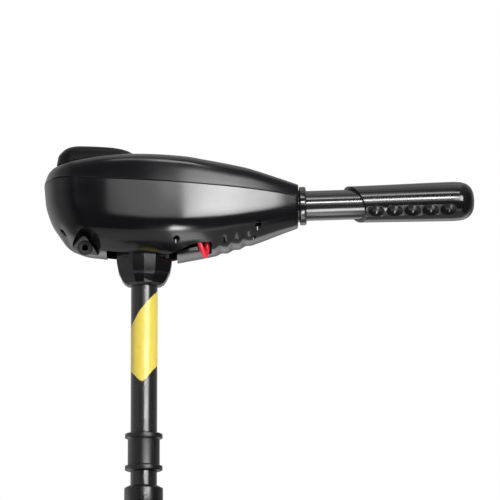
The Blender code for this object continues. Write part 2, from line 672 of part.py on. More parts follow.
def make_through_bolts(body):
    bolt = [(0, 64), (1.8, 64), (1.8, -93), (4.2, -93), (4.2, -96.5), (0, -96.5)]
    for side, name in ((-1, "through_bolt_left"), (1, "through_bolt_right")):
        add(name, turned(bolt, TINY), "steel", body, (SHAFT_X, 39.5 * side, POD_Z), ALONG_X)


def make_magnets(body):
    """Two arc magnets that line the pod above and below the armature."""
    for name, start in (("magnet_upper", -65), ("magnet_lower", 115)):
        outline = arc((0, 0), 42.4, start, start + 130, 12)
        outline += arc((0, 0), 36.4, start + 130, start, 12)
        add(name, plate(outline, -58, 30), "ferrite", body, POD_AT,
            ALONG_X @ Matrix.Rotation(math.radians(180), 4, "Z"))


def make_bearings(body):
    front = [(8.7, 78), (8.7, 70), (5.2, 70), (5.2, 78)]
    rear = [(11.1, -85), (11.1, -93), (5.2, -93), (5.2, -85)]
    seal = [(8.1, -98), (8.1, -106), (5.2, -106), (5.2, -98)]
    add("front_bearing", turned(front, SMALL), "steel", body, POD_AT, ALONG_X)
    add("rear_bearing", turned(rear, SMALL), "steel", body, POD_AT, ALONG_X)
    add("shaft_seal", turned(seal, SMALL), "rubber", body, POD_AT, ALONG_X)


def make_brush_plate(body):
    profile = [(41.8, 57), (41.8, 54), (16, 54), (16, 57)]
    plate_body = add("brush_plate", turned(profile, ROUND), "nylon", body, POD_AT, ALONG_X)
    for y in (-21.5, 21.5):
        join(plate_body, cutter(box((52, y - 5.5, -5), (62, y + 5.5, 5)), POD_AT))
    for y in (-39.5, 39.5):
        cut(plate_body, cutter(rod(2.1, 40, 70, TINY), (SHAFT_X, y, POD_Z), ALONG_X))


def make_skeg(body):
    outline = [(-72, -POD_R + 14), (58, -POD_R + 14), (50, -POD_R - 8), (-18, -136),
               (-40, -141.5), (-52, -136), (-64, -POD_R - 20)]
    fin = add("skeg", plate(outline, -2.2, 2.2), "motor_paint", body, POD_AT,
              Matrix.Rotation(math.radians(90), 4, "X"))
    cut(fin, cutter(rod(POD_R + GAP, -120, 120, FINE), POD_AT, ALONG_X))
    bevel(fin, 1.2, 2)


# The propeller and the armature -------------------------------------------------------------
def make_motor_shaft(body):
    profile = [(0, 78.5), (5.05, 78.5), (5.05, -141), (4.2, -142), (0, -142)]
    shaft = add("motor_shaft", turned(profile, SMALL), "steel", body, POD_AT, ALONG_X)
    cut(shaft, cutter(rod(2.3, -20, 20, TINY), (SHAFT_X - 119, 0, POD_Z)))


def make_armature(body):
    profile = [(35.6, 26), (35.6, -54), (5.35, -54), (5.35, 26)]
    core = add("armature", turned(profile, ROUND), "copper", body, POD_AT, ALONG_X)
    for i in range(9):
        turn = math.tau * i / 9
        slot = cutter(rod(1.6, -70, 40, TINY), POD_AT)
        slot.matrix_world = (Matrix.Translation(Vector(POD_AT) * MM) @ ALONG_X
                             @ Matrix.Translation(Vector((35.6 * math.cos(turn),
                                                          35.6 * math.sin(turn), 0)) * MM))
        cut(core, slot)


def make_commutator(body):
    profile = [(15.2, 63), (15.2, 30), (5.35, 30), (5.35, 63)]
    add("commutator", turned(profile, ROUND), "brass", body, POD_AT, ALONG_X)


BLADE_STEPS = [(14, 34, 0), (30, 46, -2), (55, 58, -3), (80, 64, 0), (105, 60, 7),
               (125, 44, 14), (137, 20, 20)]
PROP_PITCH = 190.0
PROP_X = -128.0


def blade_sections():
    """Sections out along +Z: radius, chord and sweep; thinner and flatter towards the tip."""
    sections = []
    for radius, chord, sweep in BLADE_STEPS:
        angle = math.atan(PROP_PITCH / (math.tau * max(radius, 22)))
        thick = 5.5 * (1 - radius / 160)
        ring = []
        for u, v in ((-0.5, 0), (-0.25, -0.38), (0.05, -0.5), (0.32, -0.35), (0.5, 0),
                     (0.32, 0.35), (0.05, 0.5), (-0.25, 0.38)):
            along, across = u * chord + sweep, v * thick
            ring.append((along * math.sin(angle) - across * math.cos(angle),
                         along * math.cos(angle) + across * math.sin(angle), radius))
        sections.append(ring)
    return sections


def make_propeller(body):
    hub = [(18, -112.6), (21, -114.5), (21, -138), (17, -144), (12, -144), (12, -136),
           (5.4, -136), (5.4, -124.2), (5.4, -112.6)]
    prop = add("propeller", turned(hub, ROUND), "gloss_black", body, POD_AT, ALONG_X)
    for turn in (0, 180):
        blade = cutter(loft(blade_sections()), POD_AT)
        blade.matrix_world = (Matrix.Translation(Vector((SHAFT_X + PROP_X, 0, POD_Z)) * MM)
                              @ Matrix.Rotation(math.radians(turn), 4, "X"))
        join(prop, blade)
    cut(prop, cutter(rod(5.4, -160, -100, SMALL), POD_AT, ALONG_X),
        cutter(box((-121.4, -2.4, -15.3), (-100, 2.4, 15.3)), POD_AT))


def make_drive_pin(body):
    add("drive_pin", rod(2.0, -15, 15, TINY), "steel", body, (SHAFT_X - 119, 0, POD_Z))


def make_prop_nut(body):
    profile = [(6, -150), (9.4, -149), (9.4, -145), (11.3, -144.6), (11.3, -136.4),
               (5.3, -136.4), (5.3, -146), (0, -146), (0, -150)]
    add("prop_nut", turned(profile, SMALL), "satin_black", body, POD_AT, ALONG_X)


# The swivel, the yoke and the clamp ---------------------------------------------------------
def make_sleeve(body):
    profile = [(15.2, 47), (20.4, 44.2), (20.5, 24.4), (17.3, 24.4), (17.3, -92),
               (SHAFT_R + GAP, -92), (SHAFT_R + GAP, 47)]
    add("swivel_sleeve", turned(profile, ROUND), "satin_black", body, (SHAFT_X, 0, 0))
    ring = [(21.5, -85), (22, -85.6), (22, -89.4), (21.5, -90), (17.6, -90), (17.6, -85)]
    add("sleeve_ring", turned(ring, ROUND), "satin_black", body, (SHAFT_X, 0, 0))


def make_yoke(body):
    pivot_x, pivot_z = TILT_PIVOT
    yoke = add("tilt_yoke", turned([(23, 20), (23, -80), (18.4, -80), (18.4, 20)], ROUND),
               "satin_black", body, (SHAFT_X, 0, 0))
    arm = cutter(box((-38, -20, -13), (0, 20, 13)), (pivot_x, 0, pivot_z))
    lug = cutter(rod(14, -30.7, 30.7, ROUND), (pivot_x, 0, pivot_z), ALONG_Y)
    boss = cutter(rod(11, 20, 33, SMALL), (SHAFT_X, 0, -30), ALONG_MINUS_X)
    join(yoke, arm, lug, boss)
    cut(yoke,
        cutter(rod(18.4, -90, 30, ROUND), (SHAFT_X, 0, 0)),
        cutter(rod(5.4, -40, 40, SMALL), (pivot_x, 0, pivot_z), ALONG_Y),
        cutter(box((-26.2, -6.4, -36.4), (-10, 6.4, -23.6)), (SHAFT_X, 0, 0)),
        cutter(rod(4.4, 10, 40, TINY), (SHAFT_X, 0, -30), ALONG_MINUS_X))
    upper = [(22.4, 24.1), (22.4, 20.3), (18.1, 20.3), (18.1, -8), (17.6, -8), (17.6, 24.1)]
    lower = [(18.1, -52), (18.1, -80.3), (22.4, -80.3), (22.4, -84.4), (17.6, -84.4),
             (17.6, -52)]
    add("upper_bushing", turned(upper, ROUND), "nylon", body, (SHAFT_X, 0, 0))
    add("lower_bushing", turned(lower, ROUND), "nylon", body, (SHAFT_X, 0, 0))


def make_brake_shoe(body):
    shoe = add("brake_shoe", box((-22.8, -6, -36), (-16, 6, -24)), "rubber", body,
               (SHAFT_X, 0, 0))
    cut(shoe, cutter(rod(17.7, -50, 0, FINE), (SHAFT_X, 0, 0)))


def make_tension_knob(body):
    profile = [(0, 62), (9, 62), (13, 60), (14, 56), (14, 46), (12, 43.5), (7, 42), (7, 38),
               (4, 38), (4, 23.2), (0, 23.2)]
    knob = add("tension_knob", turned(profile, SMALL), "satin_black", body, (SHAFT_X, 0, -30),
               ALONG_MINUS_X)
    flute(knob, (SHAFT_X, 0, -30), ALONG_MINUS_X, 15.2, 42, 64, 8)


def flute(knob, place, turn, radius, start, end, count):
    """Finger flutes around a knob."""
    for i in range(count):
        angle = math.tau * i / count
        notch = cutter(rod(2.8, start, end, TINY), place)
        notch.matrix_world = (Matrix.Translation(Vector(place) * MM) @ turn
                              @ Matrix.Translation(Vector((radius * math.cos(angle),
                                                           radius * math.sin(angle),
                                                           0)) * MM))
        cut(knob, notch)


JAW = 10.0
BRACKET_LOW = -105.0
SCREW_Y = 30.0
SCREW_Z = -48.0
PAD_FACE = CLAMP_REST - CLAMP_GAP / 2


def make_bracket(body):
    """The clamp: an upturned U over the transom, with cheeks that carry the tilt bolt."""
    inner = CLAMP_GAP / 2
    outer = inner + JAW
    pivot_x, pivot_z = TILT_PIVOT
    outline = [(-inner, 0), (-inner, BRACKET_LOW + 6), (-inner - 3, BRACKET_LOW),
               (-outer + 3, BRACKET_LOW), (-outer, BRACKET_LOW + 6)]
    outline += arc((-outer + 12, 2), 12, 180, 90, 4)
    outline += arc((outer - 12, 2), 12, 90, 0, 4)
    outline += [(outer, BRACKET_LOW + 6), (outer - 3, BRACKET_LOW), (inner + 3, BRACKET_LOW),
                (inner, BRACKET_LOW + 6), (inner, 0)]
    standing = Matrix.Rotation(math.radians(90), 4, "X")
    bracket = add("clamp_bracket", plate(outline, -55, 55), "satin_black", body, (0, 0, 0),
                  standing)
    for side in (1, -1):
        cheek = arc((pivot_x, pivot_z), 15, 90, 250, 8)
        cheek += [(-outer + 4, -62), (-outer + 4, pivot_z + 13.8)]
        low, high = (31, 38) if side > 0 else (-38, -31)
        join(bracket, cutter(plate(cheek, low, high), (0, 0, 0), standing),
             cutter(rod(13, outer - 4, 52, SMALL), (0, SCREW_Y * side, SCREW_Z), ALONG_X))
    cut(bracket,
        cutter(rod(5.3, -60, 60, SMALL), (pivot_x, 0, pivot_z), ALONG_Y),
        cutter(rounded_bar(32, 40, 8, -60, -20), (0, 0, -74), ALONG_X))
    for side in (1, -1):
        cut(bracket, cutter(rod(5.3, 10, 70, SMALL), (0, SCREW_Y * side, SCREW_Z), ALONG_X))


def rounded_bar(width, height, corner, start, end):
    """A bar of a rounded rectangle's section, along Z before it is turned."""
    half_u, half_v = height / 2 - corner, width / 2 - corner
    outline = []
    for u, v, angle in ((half_u, half_v, 0), (-half_u, half_v, 90), (-half_u, -half_v, 180),
                        (half_u, -half_v, 270)):
        outline += arc((u, v), corner, angle, angle + 90, 4)
    return plate(outline, start, end)


def make_tilt_bolt(body):
    profile = [(0, 47), (5, 47), (5, -38.4), (9.5, -38.4), (9.5, -43), (7, -45), (0, -45.4)]
    add("tilt_bolt", turned(profile, SMALL), "steel", body, (TILT_PIVOT[0], 0, TILT_PIVOT[1]),
        ALONG_Y)


def make_tilt_knob(body):
    profile = [(0, 62), (12, 62), (16.5, 60), (18, 56), (18, 47), (15, 43), (9, 42), (9, 38.4),
               (5.3, 38.4), (5.3, 50), (0, 50)]
    place = (TILT_PIVOT[0], 0, TILT_PIVOT[1])
    knob = add("tilt_knob", turned(profile, ROUND), "satin_black", body, place, ALONG_Y)
    flute(knob, place, ALONG_Y, 19.4, 42.6, 64, 8)


def make_clamp_pad(body, name, y):
    profile = [(7, 26), (9, 24), (9, 20.6), (16, 19), (16, 14), (0, 14), (0, 19.5), (6.2, 19.5),
               (6.2, 26)]
    add(name, turned(profile, ROUND), "rubber", body, (0, y, SCREW_Z), ALONG_X)


def make_clamp_screw(body, side, y):
    screw = [(0, 91.5), (4, 91.5), (4, 86), (5, 85.8), (5, 27), (4, 26), (4, 23.6), (5.8, 23),
             (5.8, 20.4), (4, 19.8), (0, 19.8)]
    add("clamp_screw_" + side, turned(screw, SMALL), "steel", body, (0, y, SCREW_Z), ALONG_X)
    handle = add("clamp_handle_" + side, turned([(9, 100), (11, 98), (11, 84), (9, 82.5),
                                                 (5.3, 82.5), (5.3, 86), (4.3, 86),
                                                 (4.3, 91.8), (0, 91.8), (0, 100)], ROUND),
                 "satin_black", body, (0, y, SCREW_Z), ALONG_X)
    wings = cutter(rounded_bar(54, 14, 6.9, 93.0, 99.0), (0, y, SCREW_Z), ALONG_X)
    join(handle, wings)


# Bodies and their joints --------------------------------------------------------------------
def build():
    pivot_x, pivot_z = TILT_PIVOT
    clamp = joint_empty("clamp_frame", 0, 0, 0)
    make_bracket(clamp)
    make_tilt_bolt(clamp)
    make_tilt_knob(joint_empty("tilt_knob_axis", pivot_x, 40, pivot_z, clamp))
    for side, y in (("left", SCREW_Y), ("right", -SCREW_Y)):
        slide = joint_empty("clamp_slide_" + side, PAD_FACE, y, SCREW_Z, clamp)
        make_clamp_pad(slide, "clamp_pad_" + side, y)
        make_clamp_screw(joint_empty("clamp_screw_axis_" + side, PAD_FACE, y, SCREW_Z, slide),
                         side, y)
    yoke = joint_empty("yoke_axis", pivot_x, 0, pivot_z, clamp)
    make_yoke(yoke)
    brake = joint_empty("brake_slide", SHAFT_X, 0, -30, yoke)
    make_brake_shoe(brake)
    make_tension_knob(joint_empty("tension_axis", SHAFT_X, 0, -30, brake))
    swivel = joint_empty("steer_axis", SHAFT_X, 0, 0, yoke)
    make_sleeve(swivel)
    shaft = joint_empty("depth_slide", SHAFT_X, 0, 0, swivel)
    make_shaft(shaft)
    make_hub(shaft)
    for make in (make_pod_housing, make_nose_cone, make_rear_bell, make_through_bolts,
                 make_magnets, make_bearings, make_brush_plate, make_skeg):
        make(shaft)
    collar = joint_empty("collar_slide", *COLLAR_AT, shaft)
    make_depth_collar(collar)
    make_collar_screw(joint_empty("collar_screw_axis", *COLLAR_AT, collar))
    prop = joint_empty("propeller_axis", *POD_AT, shaft)
    for make in (make_motor_shaft, make_armature, make_commutator, make_propeller,
                 make_drive_pin, make_prop_nut):
        make(prop)
    head = joint_empty("head_tilt_axis", *pivot_place(), shaft)
    for make in (make_housing, make_cover, make_head_screws, make_gauge_pod,
                 make_handle_collar, make_speed_switch, make_lead_gland, make_wire_loops):
        make(head)
    make_test_button(joint_empty("test_button_slide", SHAFT_X - 33, 0, TILLER_Z + 60, head))
    twist = joint_empty("speed_axis", *TILLER_AT, head)
    make_drive_rod(twist)
    tiller = joint_empty("tiller_slide", *TILLER_AT, twist)
    make_tiller_tube(tiller)
    make_grip(tiller)


clear_scene()
PARTS = collection("trolling_motor")
CUTTERS = collection("cutters")
build()
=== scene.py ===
"""The looks of the transom-mount trolling motor: finer shapes, finishes, camera and light.

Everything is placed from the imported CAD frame. Sizes are in millimetres until a mesh is made.
"""

import json
import math
from functools import partial

import bmesh
import bpy
from mathutils import Matrix, Vector

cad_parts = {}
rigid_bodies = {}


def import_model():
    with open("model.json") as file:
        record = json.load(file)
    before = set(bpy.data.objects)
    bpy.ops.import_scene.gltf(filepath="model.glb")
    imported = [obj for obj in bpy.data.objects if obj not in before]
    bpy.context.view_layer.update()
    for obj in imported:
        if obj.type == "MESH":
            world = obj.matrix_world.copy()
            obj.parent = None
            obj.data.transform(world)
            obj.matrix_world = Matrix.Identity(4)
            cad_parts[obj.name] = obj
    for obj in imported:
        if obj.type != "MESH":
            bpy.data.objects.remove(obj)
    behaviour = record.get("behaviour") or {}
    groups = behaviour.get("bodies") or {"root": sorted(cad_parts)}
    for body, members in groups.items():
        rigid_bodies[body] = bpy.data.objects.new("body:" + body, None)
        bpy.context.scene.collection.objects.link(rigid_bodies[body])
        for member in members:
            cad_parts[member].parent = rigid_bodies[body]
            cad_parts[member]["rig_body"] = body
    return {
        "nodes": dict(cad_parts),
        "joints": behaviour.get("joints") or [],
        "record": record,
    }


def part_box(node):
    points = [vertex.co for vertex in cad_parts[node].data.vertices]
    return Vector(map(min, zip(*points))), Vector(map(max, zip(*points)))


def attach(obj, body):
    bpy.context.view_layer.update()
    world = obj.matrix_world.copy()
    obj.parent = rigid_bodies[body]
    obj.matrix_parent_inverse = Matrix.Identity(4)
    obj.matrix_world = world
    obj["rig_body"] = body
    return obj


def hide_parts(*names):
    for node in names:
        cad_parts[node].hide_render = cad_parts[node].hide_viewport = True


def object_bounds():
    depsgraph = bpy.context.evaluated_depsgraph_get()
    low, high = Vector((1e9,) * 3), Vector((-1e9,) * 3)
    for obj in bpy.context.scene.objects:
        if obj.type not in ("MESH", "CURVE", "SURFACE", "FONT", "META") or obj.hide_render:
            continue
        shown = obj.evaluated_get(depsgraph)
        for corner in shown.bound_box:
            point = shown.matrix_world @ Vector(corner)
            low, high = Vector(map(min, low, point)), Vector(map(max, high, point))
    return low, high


MM = 0.001
GAP = 0.3                    # what touching pieces keep between them
LATHE, ROUND, SMALL = 128, 64, 32             # sides of large, middling and small rounds
CORNER_SHARE = 0.45          # the most of a side that a rounded corner takes

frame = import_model()
REST_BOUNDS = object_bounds()
SLOT_OF = {part["node"]: part["material_slot"] for part in frame["record"]["subparts"]}
JOINTS = {joint["name"]: joint for joint in frame["joints"]}


# Places, read from the frame ------------------------------
def joint_place(name):
    return Vector(JOINTS[name]["pos_m"]) / MM


TILLER_AT = joint_place("speed_twist")
TILLER_RISE = math.atan2(JOINTS["speed_twist"]["axis"][2], JOINTS["speed_twist"]["axis"][0])
SHAFT_X = TILLER_AT.x
LEVEL_REACH, LEVEL_RISE = 193.0, 0.3          # the tiller's height this far out is the head's
TILLER_Z = TILLER_AT.z + LEVEL_REACH * math.tan(TILLER_RISE) - LEVEL_RISE
HEAD_AT = Vector((SHAFT_X, 0, TILLER_Z))
PIVOT_AT = joint_place("head_tilt")
POD_AT = joint_place("propeller_spin")
TILT_AT = joint_place("motor_tilt")
COLLAR_AT = joint_place("collar_screw_turn")
TENSION_AT = joint_place("tension_knob_turn")
CLAMP_PLACES = {"left": joint_place("clamp_screw_left_turn"),
                "right": joint_place("clamp_screw_right_turn")}
SHAFT_AT = Vector((SHAFT_X, 0, 0))
SHAFT_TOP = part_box("shaft_tube")[1].z / MM
SHAFT_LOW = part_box("shaft_tube")[0].z / MM
SHAFT_R = 14.0
SHAFT_WALL = 3.0
HUB_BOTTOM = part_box("hub_front_half")[0].z / MM
POD_R = 46.0
POD_NECK = 28.0
CLAMP_GAP = 64.0
JAW = 10.0
BRACKET_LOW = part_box("clamp_bracket")[0].z / MM


# Finishes -------------------------------------------------
def node(tree, kind, inputs=None, **settings):
    """A shader node with its inputs set to values, or linked from sockets."""
    made = tree.nodes.new("ShaderNode" + kind)
    for key, value in settings.items():
        setattr(made, key, value)
    for key, value in (inputs or {}).items():
        if isinstance(value, bpy.types.NodeSocket):
            tree.links.new(value, made.inputs[key])
        else:
            made.inputs[key].default_value = value
    return made


def ramped(tree, value, low, high, start, end):
    """A value moved from one range into another, held at its ends."""
    return node(tree, "MapRange",
                {"Value": value, "From Min": low, "From Max": high, "To Min": start,
                 "To Max": end}).outputs["Result"]


def stretched_noise(tree, coords, stretch, scale, detail=3.0):
    """Noise drawn out along an axis; stretch shrinks the pattern along each axis."""
    drawn = node(tree, "Mapping", {"Vector": coords, "Scale": stretch})
    noise = node(tree, "TexNoise",
                 {"Vector": drawn.outputs["Vector"], "Scale": scale, "Detail": detail})
    return noise.outputs["Fac"]


def combined(tree, first, second, operation="ADD"):
    return node(tree, "Math", {0: first, 1: second}, operation=operation).outputs[0]


def tinted(tree, factor, first, second):
    """A colour between two, by a factor."""
    mix = node(tree, "Mix", {"Factor": factor}, data_type="RGBA")
    for socket, value in ((mix.inputs[6], first), (mix.inputs[7], second)):
        if isinstance(value, bpy.types.NodeSocket):
            tree.links.new(value, socket)
        else:
            socket.default_value = (*value, 1.0)
    return mix.outputs[2]


def surface(name, colour, worn, roughness, grain, bump, spread=0.3, scratch=0.12, wear=0.35,
            stretch=(1, 1, 1), **sockets):
    """A moulded, painted or machined finish: grain, cloudy gloss, fine scratches, worn edges.

    grain is the size of the surface's texture and bump its height, both in millimetres.
    """
    made = bpy.data.materials.new(name)
    made.use_nodes = True
    tree = made.node_tree
    shader = tree.nodes["Principled BSDF"]
    for key, value in sockets.items():
        shader.inputs[key.replace("_", " ")].default_value = value
    coords = node(tree, "TexCoord").outputs["Object"]
    texture = stretched_noise(tree, coords, stretch, 1 / (grain * MM))
    clouds = stretched_noise(tree, coords, (1, 1, 1), 22.0, 5.0)
    lines = stretched_noise(tree, coords, (1.0, 0.06, 0.35), 900.0, 2.0)
    marks = ramped(tree, lines, 0.68, 0.78, 0.0, 1.0)
    gloss = ramped(tree, clouds, 0.3, 0.7, roughness * (1 - spread), roughness * (1 + spread))
    scuffs = combined(tree, marks, scratch, "MULTIPLY")
    tree.links.new(combined(tree, gloss, scuffs), shader.inputs["Roughness"])
    edges = ramped(tree, node(tree, "NewGeometry").outputs["Pointiness"],
                   0.53, 0.62, 0.0, wear)
    patchy = ramped(tree, texture, 0.35, 0.65, 0.75, 1.0)
    base = tinted(tree, patchy, tuple(0.82 * c for c in colour), colour)
    tree.links.new(tinted(tree, edges, base, worn), shader.inputs["Base Color"])
    relief = node(tree, "Bump",
                  {"Height": texture, "Strength": 1.0, "Distance": bump * MM})
    tree.links.new(relief.outputs["Normal"], shader.inputs["Normal"])
    return made


LATHE_MARKS = dict(stretch=(0.05, 0.05, 1), Metallic=1.0)     # bare metal, marked round Z
# Colour, worn colour, roughness, grain, bump, and whatever else the finish sets.
FINISHES = {
    "gloss_black": ((0.0035, 0.0035, 0.0045), (0.05, 0.05, 0.055), 0.17, 9.0, 0.012,
                    dict(scratch=0.10, wear=0.25)),
    "satin_black": ((0.007, 0.007, 0.0075), (0.05, 0.05, 0.05), 0.32, 0.5, 0.020, {}),
    "button_black": ((0.030, 0.030, 0.032), (0.10, 0.10, 0.10), 0.35, 0.6, 0.012, {}),
    "grip_black": ((0.005, 0.005, 0.0055), (0.03, 0.03, 0.03), 0.15, 2.0, 0.002, dict(scratch=0.05)),
    "tube_black": ((0.005, 0.005, 0.0055), (0.03, 0.03, 0.03), 0.13, 2.5, 0.004,
                   dict(scratch=0.05, stretch=(1, 1, 0.1))),
    "pod_leather": ((0.006, 0.006, 0.0065), (0.03, 0.03, 0.03), 0.34, 1.1, 0.05,
                    dict(spread=0.15, Specular_IOR_Level=0.15)),
    "composite": ((0.007, 0.007, 0.0075), (0.03, 0.03, 0.03), 0.22, 0.5, 0.010, dict(stretch=(1, 1, 0.03))),
    "motor_paint": ((0.008, 0.008, 0.009), (0.20, 0.20, 0.21), 0.30, 0.8, 0.020, {}),
    "steel": ((0.60, 0.60, 0.61), (0.75, 0.75, 0.76), 0.26, 0.25, 0.004,
              dict(Anisotropic=0.4, **LATHE_MARKS)),
    "brass": ((0.70, 0.50, 0.22), (0.80, 0.62, 0.32), 0.28, 0.3, 0.004, LATHE_MARKS),
    "copper": ((0.62, 0.30, 0.16), (0.75, 0.40, 0.24), 0.36, 0.5, 0.02, dict(Metallic=1.0)),
    "ferrite": ((0.055, 0.055, 0.06), (0.12, 0.12, 0.12), 0.62, 0.4, 0.03, {}),
    "nylon": ((0.55, 0.54, 0.50), (0.65, 0.64, 0.60), 0.48, 0.5, 0.02, dict(Subsurface_Weight=0.1)),
    "rubber": ((0.018, 0.018, 0.018), (0.05, 0.05, 0.05), 0.72, 0.5, 0.04, dict(scratch=0.05)),
    "lens": ((0.07, 0.006, 0.006), (0.12, 0.02, 0.02), 0.07, 4.0, 0.004, dict(scratch=0.05, wear=0.1)),
    "lamp": ((0.30, 0.01, 0.01), (0.45, 0.04, 0.04), 0.15, 1.5, 0.005, dict(scratch=0.03)),
    "red_lead": ((0.62, 0.015, 0.03), (0.75, 0.10, 0.10), 0.28, 1.2, 0.02, dict(scratch=0.05)),
    "black_lead": ((0.014, 0.014, 0.014), (0.05, 0.05, 0.05), 0.35, 1.2, 0.02,
                   dict(scratch=0.05)),
    "label": ((0.70, 0.56, 0.08), (0.70, 0.60, 0.25), 0.30, 0.8, 0.006, dict(scratch=0.08, wear=0.2)),
    "backdrop": ((0.86, 0.86, 0.86), (0.86, 0.86, 0.86), 0.60, 3.0, 0.02,
                 dict(scratch=0.02, wear=0.0)),
}


def material(name):
    """The named finish, made once."""
    *values, others = FINISHES[name]
    return bpy.data.materials.get("finish_" + name) or surface("finish_" + name, *values,
                                                               **others)


# Pieces ---------------------------------------------------
def placed(name, data):
    """A new object in the scene."""
    obj = bpy.data.objects.new(name, data)
    bpy.context.scene.collection.objects.link(obj)
    return obj


def show(name, mesh, nodes, place=(0, 0, 0), turn=None, finish=None, bevel=0.0, angle=35,
         body=None):
    """Adds a mesh as a piece that stands for some CAD nodes, and moves with their body."""
    obj = placed(name, mesh)
    obj.matrix_world = Matrix.Translation(Vector(place) * MM) @ (turn or Matrix.Identity(4))
    slot = SLOT_OF[nodes[0]] if nodes else None
    mesh.materials.clear()
    mesh.materials.append(material(finish or slot))
    mesh.shade_smooth()
    mesh.set_sharp_from_angle(angle=math.radians(angle))
    if bevel:
        mod = obj.modifiers.new("edges", "BEVEL")
        mod.width = bevel * MM
        mod.segments = 3
        mod.limit_method = "ANGLE"
        mod.angle_limit = math.radians(angle)
        mod.harden_normals = True
    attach(obj, body or frame["nodes"][nodes[0]]["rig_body"])
    if nodes:
        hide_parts(*nodes)
    return obj


def dress(*names):
    """Gives CAD nodes that are kept their finish."""
    for name in names:
        mesh = frame["nodes"][name].data
        mesh.materials.clear()
        mesh.materials.append(material(SLOT_OF[name]))


def combine(operation, mesh, *tools):
    """A mesh with other meshes cut out of it, joined to it, or keeping what they share."""
    holders = [placed("tool", other) for other in [mesh, *tools]]
    for holder in holders[1:]:
        mod = holders[0].modifiers.new("tool", "BOOLEAN")
        mod.operation = operation
        mod.object = holder
    seen = holders[0].evaluated_get(bpy.context.evaluated_depsgraph_get())
    made = bpy.data.meshes.new_from_object(seen)
    for holder in holders:
        bpy.data.objects.remove(holder)
    return made


carve = partial(combine, "DIFFERENCE")
join = partial(combine, "UNION")
common = partial(combine, "INTERSECT")


# Shapes, in millimetres -----------------------------------
ALONG_X = Matrix.Rotation(math.radians(90), 4, "Y")
ALONG_MINUS_X = Matrix.Rotation(math.radians(-90), 4, "Y")
ALONG_Y = Matrix.Rotation(math.radians(-90), 4, "X")
ALONG_MINUS_Y = Matrix.Rotation(math.radians(90), 4, "X")
UPRIGHT = ALONG_MINUS_Y      # stands a plate's outline up in the plane of X and Z
ALONG_TILLER = Matrix.Rotation(math.radians(90) - TILLER_RISE, 4, "Y")


def finish_mesh(bm, name):
    mesh = bpy.data.meshes.new(name)
    bm.to_mesh(mesh)
    bm.free()
    return mesh


def moved(mesh, place=(0, 0, 0), turn=None):
    mesh.transform(Matrix.Translation(Vector(place) * MM) @ (turn or Matrix.Identity(4)))
    return mesh


def box(low, high):
    """A box between two corners."""
    bm = bmesh.new()
    bmesh.ops.create_cube(bm, size=1.0)
    size = [(h - l) * MM for l, h in zip(low, high)]
    middle = [(h + l) / 2 * MM for l, h in zip(low, high)]
    bmesh.ops.scale(bm, vec=size, verts=bm.verts)
    bmesh.ops.translate(bm, vec=middle, verts=bm.verts)
    return finish_mesh(bm, "box")


def rod(radius, start, end, sides=SMALL):
    """A cylinder along Z from start to end."""
    bm = bmesh.new()
    bmesh.ops.create_cone(bm, cap_ends=True, segments=sides, radius1=radius * MM,
                          radius2=radius * MM, depth=(end - start) * MM)
    bmesh.ops.translate(bm, vec=(0, 0, (start + end) / 2 * MM), verts=bm.verts)
    return finish_mesh(bm, "rod")


def ball(radius):
    bm = bmesh.new()
    bmesh.ops.create_uvsphere(bm, u_segments=48, v_segments=32, radius=radius * MM)
    return finish_mesh(bm, "ball")


def bend(start, corner, end, steps):
    """Points on a curve from start to end, which leans towards a corner."""
    shares = [i / steps for i in range(steps + 1)]
    return [start.lerp(corner, t).lerp(corner.lerp(end, t), t) for t in shares]


def rounded(outline, radius, steps=5, on_axis=False):
    """A closed flat outline with its corners rounded; on_axis keeps those at 0 as they are."""
    line = []
    for i, corner in enumerate(outline):
        here = Vector(corner)
        back = Vector(outline[i - 1]) - here
        ahead = Vector(outline[(i + 1) % len(outline)]) - here
        reach = min(radius, back.length * CORNER_SHARE, ahead.length * CORNER_SHARE)
        if on_axis and here.x <= 0:
            line.append(corner)
            continue
        curve = bend(here + back.normalized() * reach, here,
                     here + ahead.normalized() * reach, steps)
        line += [tuple(point) for point in curve]
    return line


def turned(profile, sides=LATHE, edge=0.0, steps=4):
    """Turned about Z from a closed (radius, height) outline, with its edges rounded."""
    if edge:
        profile = rounded(profile, edge, steps, on_axis=True)
    bm = bmesh.new()
    verts = [bm.verts.new((r * MM, 0, z * MM)) for r, z in profile]
    edges = [bm.edges.new((a, b)) for a, b in zip(verts, verts[1:] + verts[:1])
             if a.co.x > 0 or b.co.x > 0]
    bmesh.ops.spin(bm, geom=verts + edges, cent=(0, 0, 0), axis=(0, 0, 1),
                   angle=math.tau, steps=sides, use_merge=True)
    bmesh.ops.remove_doubles(bm, verts=bm.verts, dist=0.000002)
    bmesh.ops.recalc_face_normals(bm, faces=bm.faces)
    return finish_mesh(bm, "turned")


def plate(outline, low, high):
    """A flat outline of (u, v) points pulled along Z from low to high."""
    bm = bmesh.new()
    face = bm.faces.new([bm.verts.new((u * MM, v * MM, low * MM)) for u, v in outline])
    pulled = bmesh.ops.extrude_face_region(bm, geom=[face])["geom"]
    top = [v for v in pulled if isinstance(v, bmesh.types.BMVert)]
    bmesh.ops.translate(bm, vec=(0, 0, (high - low) * MM), verts=top)
    bmesh.ops.recalc_face_normals(bm, faces=bm.faces)
    return finish_mesh(bm, "plate")


def loft(sections):
    """A closed skin over rings of equal point counts, each of (x, y, z) points."""
    bm = bmesh.new()
    rings = [[bm.verts.new(Vector(p) * MM) for p in ring] for ring in sections]
    for a, b in zip(rings, rings[1:]):
        for i in range(len(a)):
            j = (i + 1) % len(a)
            bm.faces.new((a[i], a[j], b[j], b[i]))
    bm.faces.new(list(reversed(rings[0])))
    bm.faces.new(rings[-1])
    bmesh.ops.recalc_face_normals(bm, faces=bm.faces)
    return finish_mesh(bm, "loft")


